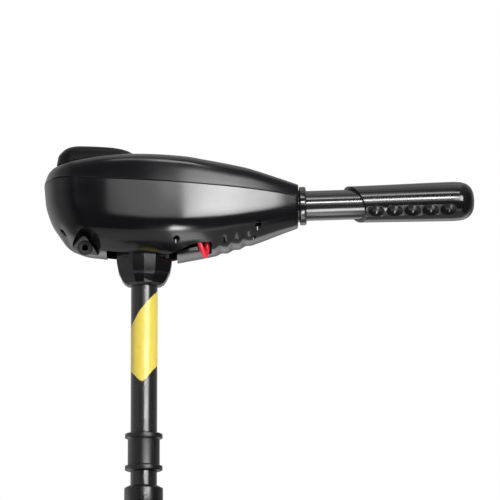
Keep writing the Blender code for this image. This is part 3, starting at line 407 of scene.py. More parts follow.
def arc(centre, radius, start, end, steps):
    """Points on an arc, in degrees, both ends included."""
    angles = [math.radians(start + (end - start) * i / steps) for i in range(steps + 1)]
    return [(centre[0] + radius * math.cos(angle), centre[1] + radius * math.sin(angle))
            for angle in angles]


def rounded_rectangle(back, front, half, corner):
    """The outline of a rectangle with round corners, from back to front and half each way."""
    rear, fore, side = back + corner, front - corner, half - corner
    outline = []
    for u, v, angle in ((fore, side, 0), (rear, side, 90), (rear, -side, 180),
                        (fore, -side, 270)):
        outline += arc((u, v), corner, angle, angle + 90, 12)
    return outline


def smooth(points, at):
    """The value at a place on a smooth curve through (place, value) points."""
    if at <= points[0][0]:
        return points[0][1]
    for i in range(len(points) - 1):
        (x0, y0), (x1, y1) = points[i], points[i + 1]
        if at <= x1:
            before = points[max(i - 1, 0)]
            after = points[min(i + 2, len(points) - 1)]
            slope0 = (y1 - before[1]) / (x1 - before[0])
            slope1 = (after[1] - y0) / (after[0] - x0)
            t, width = (at - x0) / (x1 - x0), x1 - x0
            return ((2 * t**3 - 3 * t**2 + 1) * y0 + (t**3 - 2 * t**2 + t) * width * slope0
                    + (3 * t**2 - 2 * t**3) * y1 + (t**3 - t**2) * width * slope1)
    return points[-1][1]


def softened(points, softness, steps=6):
    """A line through points whose inner corners are rounded by a share of their sides."""
    line = [points[0]]
    for before, corner, after, soft in zip(points, points[1:], points[2:], softness):
        line += bend(corner.lerp(before, soft), corner, corner.lerp(after, soft), steps)
    line.append(points[-1])
    return line


# The head's outer surface ---------------------------------
# Places are ahead of the shaft axis and heights above the tiller's axis. Each level is a share
# of the half width, a line from back to nose, and how soft the corner along it is.
HEAD_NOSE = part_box("head_lower_housing")[1].x / MM - SHAFT_X
HALF_WIDTH = [(-107, 50), (-70, 53), (-36, 57), (0, 58), (28, 57), (59, 52.5), (91, 45),
              (122, 36), (144, 29), (HEAD_NOSE, 22)]
TOP_LINE = [(-97, 37), (-75, 45), (-44, 49.5), (-5, 51), (42, 48.7), (67, 45), (93, 40.8),
            (112, 37), (144, 27.6), (HEAD_NOSE, 21.7)]
SEAM_LINE = [(-106.4, 19.5), (-92, 22), (-79, 22.2), (-47, 20.3), (0, 18.1), (59, 15),
             (112, 12), (HEAD_NOSE, 6.9)]
CREASE_LINE = [(-104.5, -3), (-79, -9.5), (-47, -17.3), (0, -23.5), (28, -24), (59, -21),
               (91, -17), (112, -12.8), (HEAD_NOSE, -1.7)]
SHOULDER_LINE = [(-98.5, -21), (-79, -26.3), (-47, -31.5), (0, -35.2), (59, -33), (112, -23),
                 (HEAD_NOSE, -10.1)]
FLANK_LINE = [(-91, -32), (-79, -36.2), (-47, -41.9), (0, -44.8), (59, -42.6), (112, -31),
              (HEAD_NOSE, -16.1)]
BILGE_LINE = [(-82, -45), (-60, -51), (-44, -53.5), (0, -56), (36, -57), (59, -53.5),
              (86, -47.5), (112, -40), (144, -28.5), (HEAD_NOSE, -22.5)]
KEEL_LINE = [(-72, -52), (-57.7, -57), (-40, -58.5), (-10, -62), (36, -63), (48, -60.5),
             (67, -57), (86.5, -52.7), (105.6, -46.3), (124.7, -39.8), (143.7, -32.3),
             (HEAD_NOSE, -24.8)]
BACK_ROUND = 34.0
BACK_POWER = 2.5
HEAD_WALL = 2.8
LIP = 0.6                    # width and depth of the chamfer along the seam
NOSE_EDGE = 1.6
FINGER_FIRST, FINGER_PITCH, FINGER_DEPTH = 82.0, 12.7, 1.5


def sunk(line, drop, back):
    """A line a little below another, with its own point at the back."""
    return [back] + [(x, z - drop) for x, z in line[1:]]


COVER_LEVELS = [
    (1.0, SEAM_LINE, 0),
    (0.955, sunk(TOP_LINE, 11.0, (-103, 30)), 0.40),
    (0.88, sunk(TOP_LINE, 5.6, (-100.5, 33.5)), 0.40),
    (0.74, sunk(TOP_LINE, 2.6, (-98.5, 35.5)), 0.45),
    (0.45, sunk(TOP_LINE, 0.9, (-97.5, 36.5)), 0.5),
    (0.0, TOP_LINE, 0.5),
]
HOUSING_LEVELS = [
    (1.0, SEAM_LINE, 0),
    (0.985, CREASE_LINE, 0.30),
    (0.91, SHOULDER_LINE, 0.45),
    (0.74, FLANK_LINE, 0.22),
    (0.48, BILGE_LINE, 0.40),
    (0.0, KEEL_LINE, 0.45),
]
BACK_SHARE = 0.08
STATIONS = [BACK_SHARE * (i / 26) ** 2 for i in range(26)]
STATIONS += [BACK_SHARE + (1 - BACK_SHARE) * i / 124 for i in range(125)]


def head_point(level, side, station, inset=0.0):
    """A point of the surface, from its level, side, share of the way to the nose and inset."""
    share, line, _ = level
    back = line[0][0] + inset
    x = back + (HEAD_NOSE - inset - back) * station
    rounding = (1 - (1 - min((x - back) / BACK_ROUND, 1)) ** BACK_POWER) ** (1 / BACK_POWER)
    y = side * share * (smooth(HALF_WIDTH, x) - inset) * rounding
    z = smooth(line, x)
    inwards = inset * math.sqrt(1 - share ** 2)
    return Vector((x, y, z - inwards if z > smooth(SEAM_LINE, x) else z + inwards))


def finger_groove(point):
    """Lifts the underside into shallow hollows for the fingers that carry the head."""
    x, y, z = point
    if abs(x - FINGER_FIRST - FINGER_PITCH) > 1.5 * FINGER_PITCH:
        return point
    share = abs(y) / smooth(HALF_WIDTH, x)
    reach = max(0.0, min(1.0, (0.84 - share) / 0.22))
    reach = reach * reach * (3 - 2 * reach)
    hollow = math.cos(math.pi * (x - FINGER_FIRST) / FINGER_PITCH) ** 2
    return Vector((x, y, z + FINGER_DEPTH * hollow * reach))


def head_ring(levels, station, inset=0.0, lip=False):
    """The section of one half of the head, from the seam on one side to the other."""
    corners = [head_point(level, 1, station, inset) for level in levels]
    corners += [head_point(level, -1, station, inset) for level in reversed(levels[:-1])]
    soft = [level[2] for level in levels[1:]]
    ring = softened(corners, soft + soft[-2::-1])
    if lip:
        for end, inner, side in ((0, 1, 1), (-1, -2, -1)):
            seam = ring[end]
            away = (ring[inner] - seam).normalized()
            ring[end] = head_point(levels[0], side, station, LIP)
            ring.insert(1 if side > 0 else -1, seam + away * LIP)
    if levels is HOUSING_LEVELS and not inset:
        ring = [finger_groove(point) for point in ring]
    return ring


def head_rings(levels, inset=0.0, lip=False):
    """Sections from back to nose, where they close round a small edge to a point."""
    last = 1 - NOSE_EDGE / (HEAD_NOSE - SEAM_LINE[0][0])
    rings = [head_ring(levels, station * last, inset, lip) for station in STATIONS]
    centre = Vector((HEAD_NOSE - inset, 0, smooth(SEAM_LINE, HEAD_NOSE)))
    widest = rings[-1]
    for step in range(1, 5):
        angle = math.radians(90 * step / 4)
        shrink = 1 - NOSE_EDGE * (1 - math.cos(angle)) / 22
        ring = []
        for point in widest:
            shrunk = centre + (point - centre) * shrink
            shrunk.x = widest[0].x + (centre.x - widest[0].x) * math.sin(angle)
            ring.append(shrunk)
        rings.append(ring)
    rings.append([centre] * len(widest))
    return rings


def skin(bm, rings, lift):
    """Faces over open rings."""
    grid = [[bm.verts.new((point + Vector((0, 0, lift))) * MM) for point in ring]
            for ring in rings]
    for near, far in zip(grid, grid[1:]):
        for j in range(len(near) - 1):
            bm.faces.new((near[j], far[j], far[j + 1], near[j + 1]))
    return grid


def welded(bm):
    bmesh.ops.remove_doubles(bm, verts=bm.verts, dist=0.000003)
    bmesh.ops.dissolve_degenerate(bm, dist=0.000002, edges=bm.edges)
    bmesh.ops.recalc_face_normals(bm, faces=bm.faces)
    return finish_mesh(bm, "head")


def head_shell(levels, lift=0.0):
    """The hollow half of the head above, or below, the seam."""
    bm = bmesh.new()
    outer = skin(bm, head_rings(levels, lip=True), lift)
    inner = skin(bm, head_rings(levels, HEAD_WALL, lip=True), lift)
    for end in (0, -1):
        for i in range(len(outer) - 1):
            bm.faces.new((outer[i][end], outer[i + 1][end], inner[i + 1][end],
                          inner[i][end]))
    return welded(bm)


def head_solid(levels, lift=0.0, inset=0.0, floor_levels=None):
    """The filled shape inside one half, or both halves, of the head's surface."""
    bm = bmesh.new()
    upper = skin(bm, head_rings(levels, inset), lift)
    if floor_levels:
        skin(bm, head_rings(floor_levels, inset), lift)
    else:
        for near, far in zip(upper, upper[1:]):
            bm.faces.new((near[0], far[0], far[-1], near[-1]))
    return welded(bm)


# The head -------------------------------------------------
# Name, place along and across, and height of the underside at each screw.
SCREW_PLACES = [("rear_left", -85, 27, -37), ("rear_right", -85, -27, -37),
                ("front_left", 120.4, 29, -26), ("front_right", 120.4, -29, -26),
                ("middle", 34.6, -43, -43.5)]
SCREW_SUNK = 7.0
DRAIN_X, DRAIN_Y = 116.0, 18.0
PIN_BORE_R = 4.3
HUB_OPENING = (-39.5, 35.0, 27.0)             # rear, front and half width
LEAD_SLOT = [(24, 26), (34, 30), (48, 35.2), (60, 35.6), (71.5, 33), (71.5, 12), (61.5, 12),
             (61.5, 27.5), (48, 28), (36, 25.5), (24, 20)]
# The recess for the leads, as (along, up) outlines at its mouth and at its foot.
RECESS = [(-79, -80), (-79, -47), (-73, -40), (-66, -33), (-60, -32), (-50, -41), (-42, -55),
          (-38, -66), (-36, -80)]
RECESS_FOOT = [(-76, -80), (-76, -47), (-71, -41), (-66, -35), (-63, -34.5), (-56, -43),
               (-49, -55), (-45, -66), (-44, -80)]
RECESS_Y = (-12.0, -32.0)                     # of the recess's foot and of its mouth
GLAND = (-62.5, -47.5)
WEB_Y = (33.0, 37.0)                          # the webs that the tilt pin sits in
TILLER_IN_HEAD = TILLER_AT - HEAD_AT
PIVOT_IN_HEAD = PIVOT_AT - HEAD_AT


def grown(outline, by):
    """An outline with its points pushed away from its middle."""
    middle = Vector((sum(u for u, _ in outline), sum(v for _, v in outline))) / len(outline)
    return [tuple(Vector(p) + (Vector(p) - middle).normalized() * by) for p in outline]


def recess_shape(wall):
    """The undercut recess, which narrows inwards, or the pocket round it for a wall."""
    push = wall * 1.3                         # slanting sides need more than the wall
    foot, mouth = RECESS_Y
    inner, outer = rounded(RECESS_FOOT, 4), rounded(RECESS, 4)
    sections = [[(u, foot + push, v) for u, v in grown(inner, push)]]
    for share in (1.0, 1 + 20 / (foot - mouth)):
        outline = [tuple(Vector(a).lerp(Vector(b), share)) for a, b in zip(inner, outer)]
        sections.append([(u, foot + (mouth - foot) * share, v) for u, v in grown(outline, push)])
    return loft(sections)


def nose_bore():
    """The tool for the round opening in the nose, for the tiller's ring."""
    return moved(rod(17.4, 145, 175, ROUND), TILLER_IN_HEAD, ALONG_TILLER)


def make_housing():
    """The lower half of the head, with its inner webs, and the openings in its underside."""
    shell = head_shell(HOUSING_LEVELS)
    filled = head_solid(COVER_LEVELS, inset=HEAD_WALL / 2, floor_levels=HOUSING_LEVELS)
    inside = []
    for side in (1, -1):
        near, far = sorted(y * side for y in WEB_Y)
        inside.append(common(box((-50, near, -60), (24, far, -14)), filled.copy()))
    inside.append(common(recess_shape(3), filled))
    inside.append(box((-50, -34, -36), (-42, 34, -26.4)))
    rear, front, half = HUB_OPENING
    slot = rounded(LEAD_SLOT, 2.5)
    gland_x, gland_z = GLAND
    tools = [
        box((rear, -half, -80), (front, half, -36)),
        plate(slot, -80, -36),
        plate([(x, -y) for x, y in slot], -80, -36),
        recess_shape(0),
        moved(rod(6.4, 2, 20), (gland_x, 0, gland_z), ALONG_MINUS_Y),
        moved(rod(PIN_BORE_R, -45, 45), PIVOT_IN_HEAD, ALONG_Y),
        nose_bore(),
    ]
    tools += [moved(rod(3.6, -70, 0), (x, y, 0)) for _, x, y, _ in SCREW_PLACES]
    tools += [moved(rod(2.5, -70, -20), (DRAIN_X, y, 0)) for y in (-DRAIN_Y, DRAIN_Y)]
    housing = carve(join(shell, *inside), *tools)
    show("housing", housing, ["head_lower_housing"], HEAD_AT, angle=32)


def make_head_screws():
    shank = [(0, 30), (1.6, 30), (1.6, 4), (3.0, 4), (3.0, 0.8), (2.2, 0), (0, 0)]
    for name, x, y, under in SCREW_PLACES:
        head = carve(turned(shank, SMALL, 0.3),
                     box((-2.2, -0.35, -1), (2.2, 0.35, 1.4)),
                     box((-0.35, -2.2, -1), (0.35, 2.2, 1.4)))
        show("screw_" + name, head, ["head_screw_" + name],
             HEAD_AT + Vector((x, y, under + SCREW_SUNK)))


def make_cover():
    cover = carve(head_shell(COVER_LEVELS, GAP), nose_bore())
    show("cover", cover, ["head_top_cover"], HEAD_AT, angle=32)


# Back, front, half width and height of the gauge pod, which falls away towards its front.
GAUGE_LEVELS = [(-92.6, -8, 34, 40), (-91, -8, 34, 49.5), (-86.8, -15.3, 33.5, 54),
                (-84.6, -21.6, 32.5, 56.2), (-83, -28.5, 31.3, 57.4), (-81, -43, 29.6, 58.5),
                (-78.4, -56, 27, 59.3), (-75, -62, 23, 59.7)]


def gauge_outline(back, front, half, z):
    """A rounded rectangle at one height."""
    corner = min(14.0, half * CORNER_SHARE, (front - back) * CORNER_SHARE)
    return [(x, y, z) for x, y in rounded_rectangle(back, front, half, corner)]


def make_gauge():
    """The raised pod on the cover, with the battery gauge and its test button on top."""
    corners = [Vector(level) for level in GAUGE_LEVELS]
    levels = softened(corners, [0.4] * (len(corners) - 2), 4)
    sections = [gauge_outline(*level) for level in levels]
    pod = carve(loft(sections),
                head_solid(COVER_LEVELS, 2 * GAP),
                box((-76, -19, 40), (-26, 19, 55.5)),
                box((-72.3, -8.3, 54), (-42.7, 8.3, 62)),
                moved(rod(5.3, 54, 62), (-33, 0, 0)))
    show("gauge_pod_shell", pod, ["gauge_pod"], HEAD_AT, finish="pod_leather", angle=30)
    show("gauge_window", box((-72, -8, 56), (-43, 8, 59.2)), ["gauge_lens"], HEAD_AT,
         bevel=0.5)
    for i in range(4):
        lamp = moved(ball(2.2), (-67 + 6.5 * i, 0, 57.2))
        show(f"gauge_lamp_{i + 1}", lamp, [], HEAD_AT, finish="lamp", body="head")
    button = [(0, 60.6), (3.6, 60.6), (4.6, 59.8), (4.6, 54.9), (6.4, 54.9), (6.4, 53.4),
              (0, 53.4)]
    show("gauge_button", turned(button, ROUND, 0.4), ["test_button"],
         HEAD_AT + Vector((-33, 0, 0)))


def make_handle_collar():
    ring = [(18.6, 171.6), (20.4, 170.6), (20.5, 165.2), (19.9, 164.4), (17.0, 164.4),
            (17.0, 150), (16.2, 150), (16.2, 171.6)]
    show("nose_ring", turned(ring, edge=0.6), ["handle_collar"], TILLER_AT, ALONG_TILLER,
         finish="tube_black")


def make_lead_gland():
    gland = [(6.0, 15.6), (7.2, 15.4), (8.0, 14.8), (8.0, 12.4), (6.0, 12.4), (6.0, 3),
             (3.2, 3), (3.2, 15.6)]
    show("gland", turned(gland, ROUND, 0.6), ["lead_gland"],
         HEAD_AT + Vector((GLAND[0], 0, GLAND[1])), ALONG_MINUS_Y, finish="rubber")


LEAD_R = 2.6
RED_LEAD = [(-19, -24, -13.5), (-10, -23.6, -12.6), (4, -23, -12.2), (20, -23, -12.6),
            (34, -23, -13), (46, -23, -15), (54, -26, -22), (57, -29.5, -32), (58.5, -32, -45),
            (61, -32.3, -51), (63.2, -30, -56), (65, -27, -59), (66.2, -24, -56),
            (66.7, -21.5, -48), (66.2, -21.5, -36), (64.5, -22, -20), (60, -22.5, -9.5),
            (46, -22.5, -5.2), (30, -22.5, -4.4), (10, -22.8, -4.4), (-8, -23.5, -5),
            (-19, -24, -5.4)]
BLACK_LEAD = [(-19, -29.5, -13.5), (-10, -29.5, -12.6), (4, -29.5, -12.2), (17, -29.5, -13.5),
              (25, -29.3, -22), (28, -29, -36), (33, -29.3, -42.3), (39, -29.8, -44.3),
              (44, -29.8, -43.8), (48, -29, -40), (49, -29, -32), (46, -29.5, -20),
              (40, -29.5, -8.5), (30, -29.5, -4.4), (10, -29.5, -4.4), (-8, -29.5, -5),
              (-19, -29.5, -5.4)]


def make_wire_loops():
    """The motor leads' slack, held at both ends by the speed switch."""
    for name, path in (("wire_loop_red", RED_LEAD), ("wire_loop_black", BLACK_LEAD)):
        points = [Vector(point) for point in path]
        line = softened(points, [0.5] * (len(points) - 2))
        curve = bpy.data.curves.new(name, "CURVE")
        curve.dimensions = "3D"
        curve.bevel_depth = LEAD_R * MM
        curve.bevel_resolution = 8
        curve.use_fill_caps = True
        spline = curve.splines.new("POLY")
        spline.points.add(len(line) - 1)
        for point, place in zip(spline.points, line):
            point.co = (*(place * MM), 1.0)
        holder = bpy.data.objects.new(name, curve)
        mesh = bpy.data.meshes.new_from_object(holder)
        bpy.data.objects.remove(holder)
        show(name + "_lead", mesh, [name], HEAD_AT)


# The tiller -----------------------------------------------
GRIP_PROFILE = [(0, 350.4), (8, 349.6), (14, 347.2), (18.3, 342.5), (20.4, 336), (20.9, 328),
                (20.6, 300), (19.8, 255), (19.4, 222), (19.4, 200), (16.2, 200), (16.2, 341),
                (0, 341)]
GRIP_MOUTH = 223.2           # where the grip's oblique mouth crosses its axis
GRIP_MOUTH_SLANT = (-7.4 / 19.4, 9.5 / 19.4, 1)
DIMPLE_COUNT = 5
DIMPLE_R = 17.0
DIMPLE_REACH, DIMPLE_STEP = 34.4, 0.25       # of their middles from the axis, and its growth
DIMPLE_FIRST, DIMPLE_PITCH = 245.5, 19.1
DIMPLE_TURN = math.radians(124)


def make_tiller():
    tube = [(15.9, 340.5), (15.9, 64), (8, 64), (8, 72), (13.5, 72), (13.5, 340.5)]
    show("tube", turned(tube), ["tiller_tube"], TILLER_AT, ALONG_TILLER, finish="tube_black")
    slant = Vector(GRIP_MOUTH_SLANT).to_track_quat("Z", "Y").to_matrix().to_4x4()
    mouth = moved(box((-40, -40, -60), (40, 40, 0)), (0, 0, GRIP_MOUTH), slant)
    dimples = []
    for i in range(DIMPLE_COUNT):
        reach = DIMPLE_REACH + DIMPLE_STEP * i
        dimples.append(moved(ball(DIMPLE_R), (-math.cos(DIMPLE_TURN) * reach,
                                              -math.sin(DIMPLE_TURN) * reach,
                                              DIMPLE_FIRST + DIMPLE_PITCH * i)))
    grip = carve(turned(GRIP_PROFILE, edge=2.5, steps=6), mouth, *dimples)
    show("grip", grip, ["tiller_grip"], TILLER_AT, ALONG_TILLER, angle=40)


# The shaft, its hub and its collar ------------------------
def make_shaft():
    inner = SHAFT_R - SHAFT_WALL
    tube = [(SHAFT_R, SHAFT_TOP), (SHAFT_R, SHAFT_LOW), (inner, SHAFT_LOW), (inner, SHAFT_TOP)]
    show("shaft", turned(tube), ["shaft_tube"], SHAFT_AT)


# Heights of the label's upper and lower ends, at degrees round the shaft from its -Y side.
LABEL_TOP = [(-130, 203), (-90, 211), (-75, 214), (-44, 222), (-22, 230), (0, 236.8),
             (19, 242.3), (40, 247.3), (90, 255), (130, 257.5)]
LABEL_FOOT = [(-130, 172), (-90, 169.5), (-75, 168), (-44, 163), (-22, 158), (-6, 156),
              (0, 156.8), (19, 161.8), (44, 168.4), (90, 175.4), (130, 178)]
LABEL_HALF_TURN = 130        # degrees that the label reaches each way round the shaft
LABEL_SECTIONS, LABEL_ROWS = 104, 12
LABEL_LIFT = (0.15, 0.02)    # of its outer and inner faces, above the shaft


def make_label():
    """A plain coloured band wrapped on the shaft, with slanting ends and no lettering."""
    sections = []
    for i in range(LABEL_SECTIONS + 1):
        turn = LABEL_HALF_TURN * (2 * i / LABEL_SECTIONS - 1)
        along, across = math.sin(math.radians(turn)), -math.cos(math.radians(turn))
        top, foot = smooth(LABEL_TOP, turn), smooth(LABEL_FOOT, turn)
        heights = [foot + (top - foot) * k / LABEL_ROWS for k in range(LABEL_ROWS + 1)]
        outer, inner = [[(radius * along, radius * across, z) for z in heights]
                        for radius in (SHAFT_R + lift for lift in LABEL_LIFT)]
        sections.append(outer + inner[::-1])
    show("shaft_band", loft(sections), [], SHAFT_AT, finish="label", body="shaft")


HUB_FOLD = 0.7               # how far the hub's sides stand out at the seam, and in beside it
HUB_SCREW_Y, HUB_SCREW_Z = 19.5, 290.0
# Half length, half width and height of the hub's sections, from its top down.
HUB_LEVELS = [(30, 26, 304.4), (29, 25, 283), (27, 23.8, 272.5), (26.2, 22.6, 271.2),
              (25.4, 21.6, 269.8), (23.4, 20.8, 265), (20.6, 19.4, 261.3),
              (17, 17, HUB_BOTTOM)]


def hub_section(half_x, half_y, z):
    """An octagon with wide flats at one height, whose two sides fold at the seam."""
    cx, cy = half_x * 0.42, half_y * 0.45
    side, fold = half_y - HUB_FOLD, half_y + HUB_FOLD
    left = [(half_x, cy), (cx, side), (0, fold), (-cx, side), (-half_x, cy)]
    return [(x, y, z) for x, y in left + [(-x, -y) for x, y in left]]


def make_hex_screws(kind, suffix, outline, socket, middle, apart):
    """The left and the right screw of a pair, with hexagonal sockets in their heads."""
    for side, y in (("left", -apart), ("right", apart)):
        screw = carve(turned(outline, SMALL, 0.4), rod(*socket, 6))
        show(kind + side + suffix, screw, [kind + side], middle + Vector((0, y, 0)), ALONG_X)


def make_hub():
    """The two halves that clamp the shaft, the pin that the head tilts on, and two screws."""
    boss_at = PIVOT_AT - SHAFT_AT
    for side, name in ((1, "hub_front_half"), (-1, "hub_rear_half")):
        low, high = sorted((-80 * side, GAP / 2 * side))
        away = box((low, -60, 240), (high, 60, 350))
        half = join(loft([hub_section(*level) for level in HUB_LEVELS]),
                    moved(rod(12.5, -31, 31, ROUND), boss_at, ALONG_Y),
                    box((-12.5, -26, 300), (12.5, 26, PIVOT_AT.z)))
        bores = [moved(rod(radius, start, 40), (0, y, HUB_SCREW_Z), ALONG_X)
                 for radius, start in ((2.3, -40), (5.2, 22))
                 for y in (-HUB_SCREW_Y, HUB_SCREW_Y)]
        half = carve(half, away, rod(SHAFT_R + GAP, 240, 300.3, ROUND), rod(8, 290, 350),
                     moved(rod(PIN_BORE_R, -45, 45), boss_at, ALONG_Y), *bores)
        show(name + "_casting", half, [name], SHAFT_AT, bevel=0.7, angle=14)
    pin = [(0, 39.5), (3.3, 39.5), (4, 38.8), (4, -38.8), (3.3, -39.5), (0, -39.5)]
    show("tilt_pin", turned(pin, ROUND), ["head_tilt_pin"], PIVOT_AT, ALONG_Y)
    screw = [(0, 26), (4.2, 26), (4.2, 22.4), (2, 22.4), (2, -22), (0, -22)]
    make_hex_screws("hub_screw_", "_bolt", screw, (2.0, 24, 28),
                    SHAFT_AT + Vector((0, 0, HUB_SCREW_Z)), HUB_SCREW_Y)


def fluted(profile, sides, edge, radius, start, end, count, size=2.8):
    """A turned knob with finger flutes around it."""
    turns = [math.tau * i / count for i in range(count)]
    flutes = [moved(rod(size, start, end), (radius * math.cos(t), radius * math.sin(t), 0))
              for t in turns]
    return carve(turned(profile, sides, edge), *flutes)


def make_collar():
    bore = SHAFT_R + GAP
    spool = [(17.6, 20.1), (19.9, 19.0), (19.9, 14.6), (16.9, 13.6), (16.9, -13.7),
             (19.9, -14.7), (19.9, -19.1), (17.6, -20.2), (bore, -20.2), (bore, 20.1)]
    body = carve(join(turned(spool, edge=0.5),
                      moved(rod(7, 15.5, 20, ROUND), turn=ALONG_Y)),
                 moved(rod(3.3, 10, 30), turn=ALONG_Y))
    show("collar", body, ["depth_collar"], COLLAR_AT)
    profile = [(0, 38), (8, 38), (11, 36.5), (12, 33), (12, 26), (10, 24), (3, 24), (3, 14.4),
               (0, 14.4)]
    knob = fluted(profile, ROUND, 0.8, 13, 23, 40, 6)
    show("collar_knob", knob, ["collar_screw"], COLLAR_AT, ALONG_Y)


# The motor pod --------------------------------------------
POD_BACK, POD_FRONT = -88.0, 72.0
POD_BORE = 42.8
THROUGH_BOLT_Y = 39.5


def make_pod():
    shell = [(POD_R, POD_FRONT), (POD_R, POD_BACK), (POD_BORE, POD_BACK), (POD_BORE, POD_FRONT)]
    neck = [(0, POD_R + POD_NECK), (18.5, POD_R + POD_NECK), (19.2, POD_R + 24),
            (20, POD_R + 18), (21.6, POD_R + 12), (24, POD_R + 6), (28.5, POD_R),
            (34, POD_R - 6), (34, POD_R - 14), (0, POD_R - 14)]
    pod = join(moved(turned(shell), turn=ALONG_X), turned(neck, ROUND))
    pod = carve(pod,
                moved(rod(POD_BORE, -78, 66, LATHE), turn=ALONG_X),
                rod(SHAFT_R + GAP, POD_R + 5.7, POD_R + 60, ROUND),
                rod(8, 20, POD_R + 20))
    show("pod", pod, ["pod_housing"], POD_AT, bevel=0.6)
    nose = [(0, 112), (12, 110.5), (24, 105.5), (34, 97), (41, 86), (45, 77), (46, 72.4),
            (42.4, 72.4), (42.4, 66), (36, 66), (36, 74), (12.6, 74), (12.6, 66), (9.0, 66),
            (9.0, 80), (0, 80)]
    show("nose", turned(nose, edge=4.5, steps=6), ["nose_cone"], POD_AT, ALONG_X)
    bell = [(15, -110), (25, -108), (37, -102), (44, -95), (46, -88.3), (42.4, -88.3),
            (42.4, -82), (36, -82), (36, -90), (16.6, -94), (16.6, -84), (11.4, -84),
            (11.4, -96), (8.4, -96), (8.4, -110)]
    tools = [moved(rod(radius, -120, end), (0, y, 0))
             for y in (-THROUGH_BOLT_Y, THROUGH_BOLT_Y)
             for radius, end in ((2.1, -70), (4.9, -92.7))]
    show("rear_bell", carve(turned(bell, edge=3.0, steps=6), *tools), ["rear_end_bell"],
         POD_AT, ALONG_X)
    bolt = [(0, 64), (1.8, 64), (1.8, -93), (4.2, -93), (4.2, -96.5), (0, -96.5)]
    make_hex_screws("through_bolt_", "_hex", bolt, (2.1, -98, -94.4), POD_AT,
                    THROUGH_BOLT_Y)


def make_skeg():
    outline = [(-72, -POD_R + 14), (58, -POD_R + 14), (50, -POD_R - 8), (-18, -136),
               (-40, -141.5), (-52, -136), (-64, -POD_R - 20)]
    fin = moved(plate(rounded(outline, 8, 8), -2.2, 2.2), turn=UPRIGHT)
    fin = carve(fin, moved(rod(POD_R + GAP, -120, 120, LATHE), turn=ALONG_X))
    show("fin", fin, ["skeg"], POD_AT, bevel=1.3)


# Radius, chord and sweep of the propeller's blade, and its section as shares of both.
BLADE_STEPS = [(14, 34, 0), (30, 46, -2), (55, 58, -3), (80, 64, 0), (105, 60, 7),
               (125, 44, 14), (137, 20, 20)]
BLADE_OUTLINE = [(-0.5, 0), (-0.25, -0.38), (0.05, -0.5), (0.32, -0.35), (0.5, 0),
                 (0.32, 0.35), (0.05, 0.5), (-0.25, 0.38)]
BLADE_SECTIONS = 42
PROP_PITCH = 190.0
PROP_X = -128.0


def blade_sections():
    """Sections out along +Z: radius, chord and sweep; thinner and flatter towards the tip."""
    chords = [(radius, chord) for radius, chord, _ in BLADE_STEPS]
    sweeps = [(radius, sweep) for radius, _, sweep in BLADE_STEPS]
    loop = [Vector((u, v)) for u, v in BLADE_OUTLINE]
    closed = softened([loop[-1], *loop, loop[0]], [0.5] * len(loop), 4)[1:-1]
    sections = []
    root, tip = BLADE_STEPS[0][0], BLADE_STEPS[-1][0]
    for i in range(BLADE_SECTIONS):
        radius = root + (tip - root) * i / (BLADE_SECTIONS - 1)
        chord, sweep = smooth(chords, radius), smooth(sweeps, radius)
        angle = math.atan(PROP_PITCH / (math.tau * max(radius, 22)))
        thick = 5.5 * (1 - radius / 160)
        ring = []
        for u, v in closed:
            along, across = u * chord + sweep, v * thick
            ring.append((along * math.sin(angle) - across * math.cos(angle),
                         along * math.cos(angle) + across * math.sin(angle), radius))
        sections.append(ring)
    return sections


def make_propeller():
    hub = [(18, -112.6), (21, -114.5), (21, -138), (17, -144), (12, -144), (12, -136),
           (5.4, -136), (5.4, -124.2), (5.4, -112.6)]
    blades = [moved(loft(blade_sections()), (PROP_X, 0, 0),
                    Matrix.Rotation(math.radians(turn), 4, "X")) for turn in (0, 180)]
    prop = join(moved(turned(hub, edge=1.2), turn=ALONG_X), *blades)
    prop = carve(prop, moved(rod(5.4, -160, -100), turn=ALONG_X),
                 box((-121.4, -2.4, -15.3), (-100, 2.4, 15.3)))
    show("screw_propeller", prop, ["propeller"], POD_AT, angle=45)
    nut = [(6, -150), (9.4, -149), (9.4, -145), (11.3, -144.6), (11.3, -136.4), (5.3, -136.4),
           (5.3, -146), (0, -146), (0, -150)]
    show("propeller_nut", fluted(nut, ROUND, 0.4, 10.6, -152, -145.2, 6, 2.0),
         ["prop_nut"], POD_AT, ALONG_X)
    shaft = [(0, 78.5), (5.05, 78.5), (5.05, -141), (4.2, -142), (0, -142)]
    show("rotor_shaft", carve(turned(shaft, ROUND, 0.4),
                              moved(rod(2.3, -20, 20), (0, 0, -119), ALONG_X)),
         ["motor_shaft"], POD_AT, ALONG_X)


# The swivel, the yoke and the clamp -----------------------
def make_sleeve():
    bore = SHAFT_R + GAP
    sleeve = [(15.2, 47), (20.4, 44.2), (20.5, 24.4), (17.3, 24.4), (17.3, -92), (bore, -92),
              (bore, 47)]
    ring = [(21.5, -85), (22, -85.6), (22, -89.4), (21.5, -90), (17.6, -90), (17.6, -85)]
    upper = [(22.4, 24.1), (22.4, 20.3), (18.1, 20.3), (18.1, -8), (17.6, -8), (17.6, 24.1)]
    lower = [(18.1, -52), (18.1, -80.3), (22.4, -80.3), (22.4, -84.4), (17.6, -84.4),
             (17.6, -52)]
    for name, node_name, outline, edge in (("sleeve", "swivel_sleeve", sleeve, 0.6),
                                           ("retaining_ring", "sleeve_ring", ring, 0.0),
                                           ("bushing_upper", "upper_bushing", upper, 0.3),
                                           ("bushing_lower", "lower_bushing", lower, 0.3)):
        show(name, turned(outline, edge=edge), [node_name], SHAFT_AT)


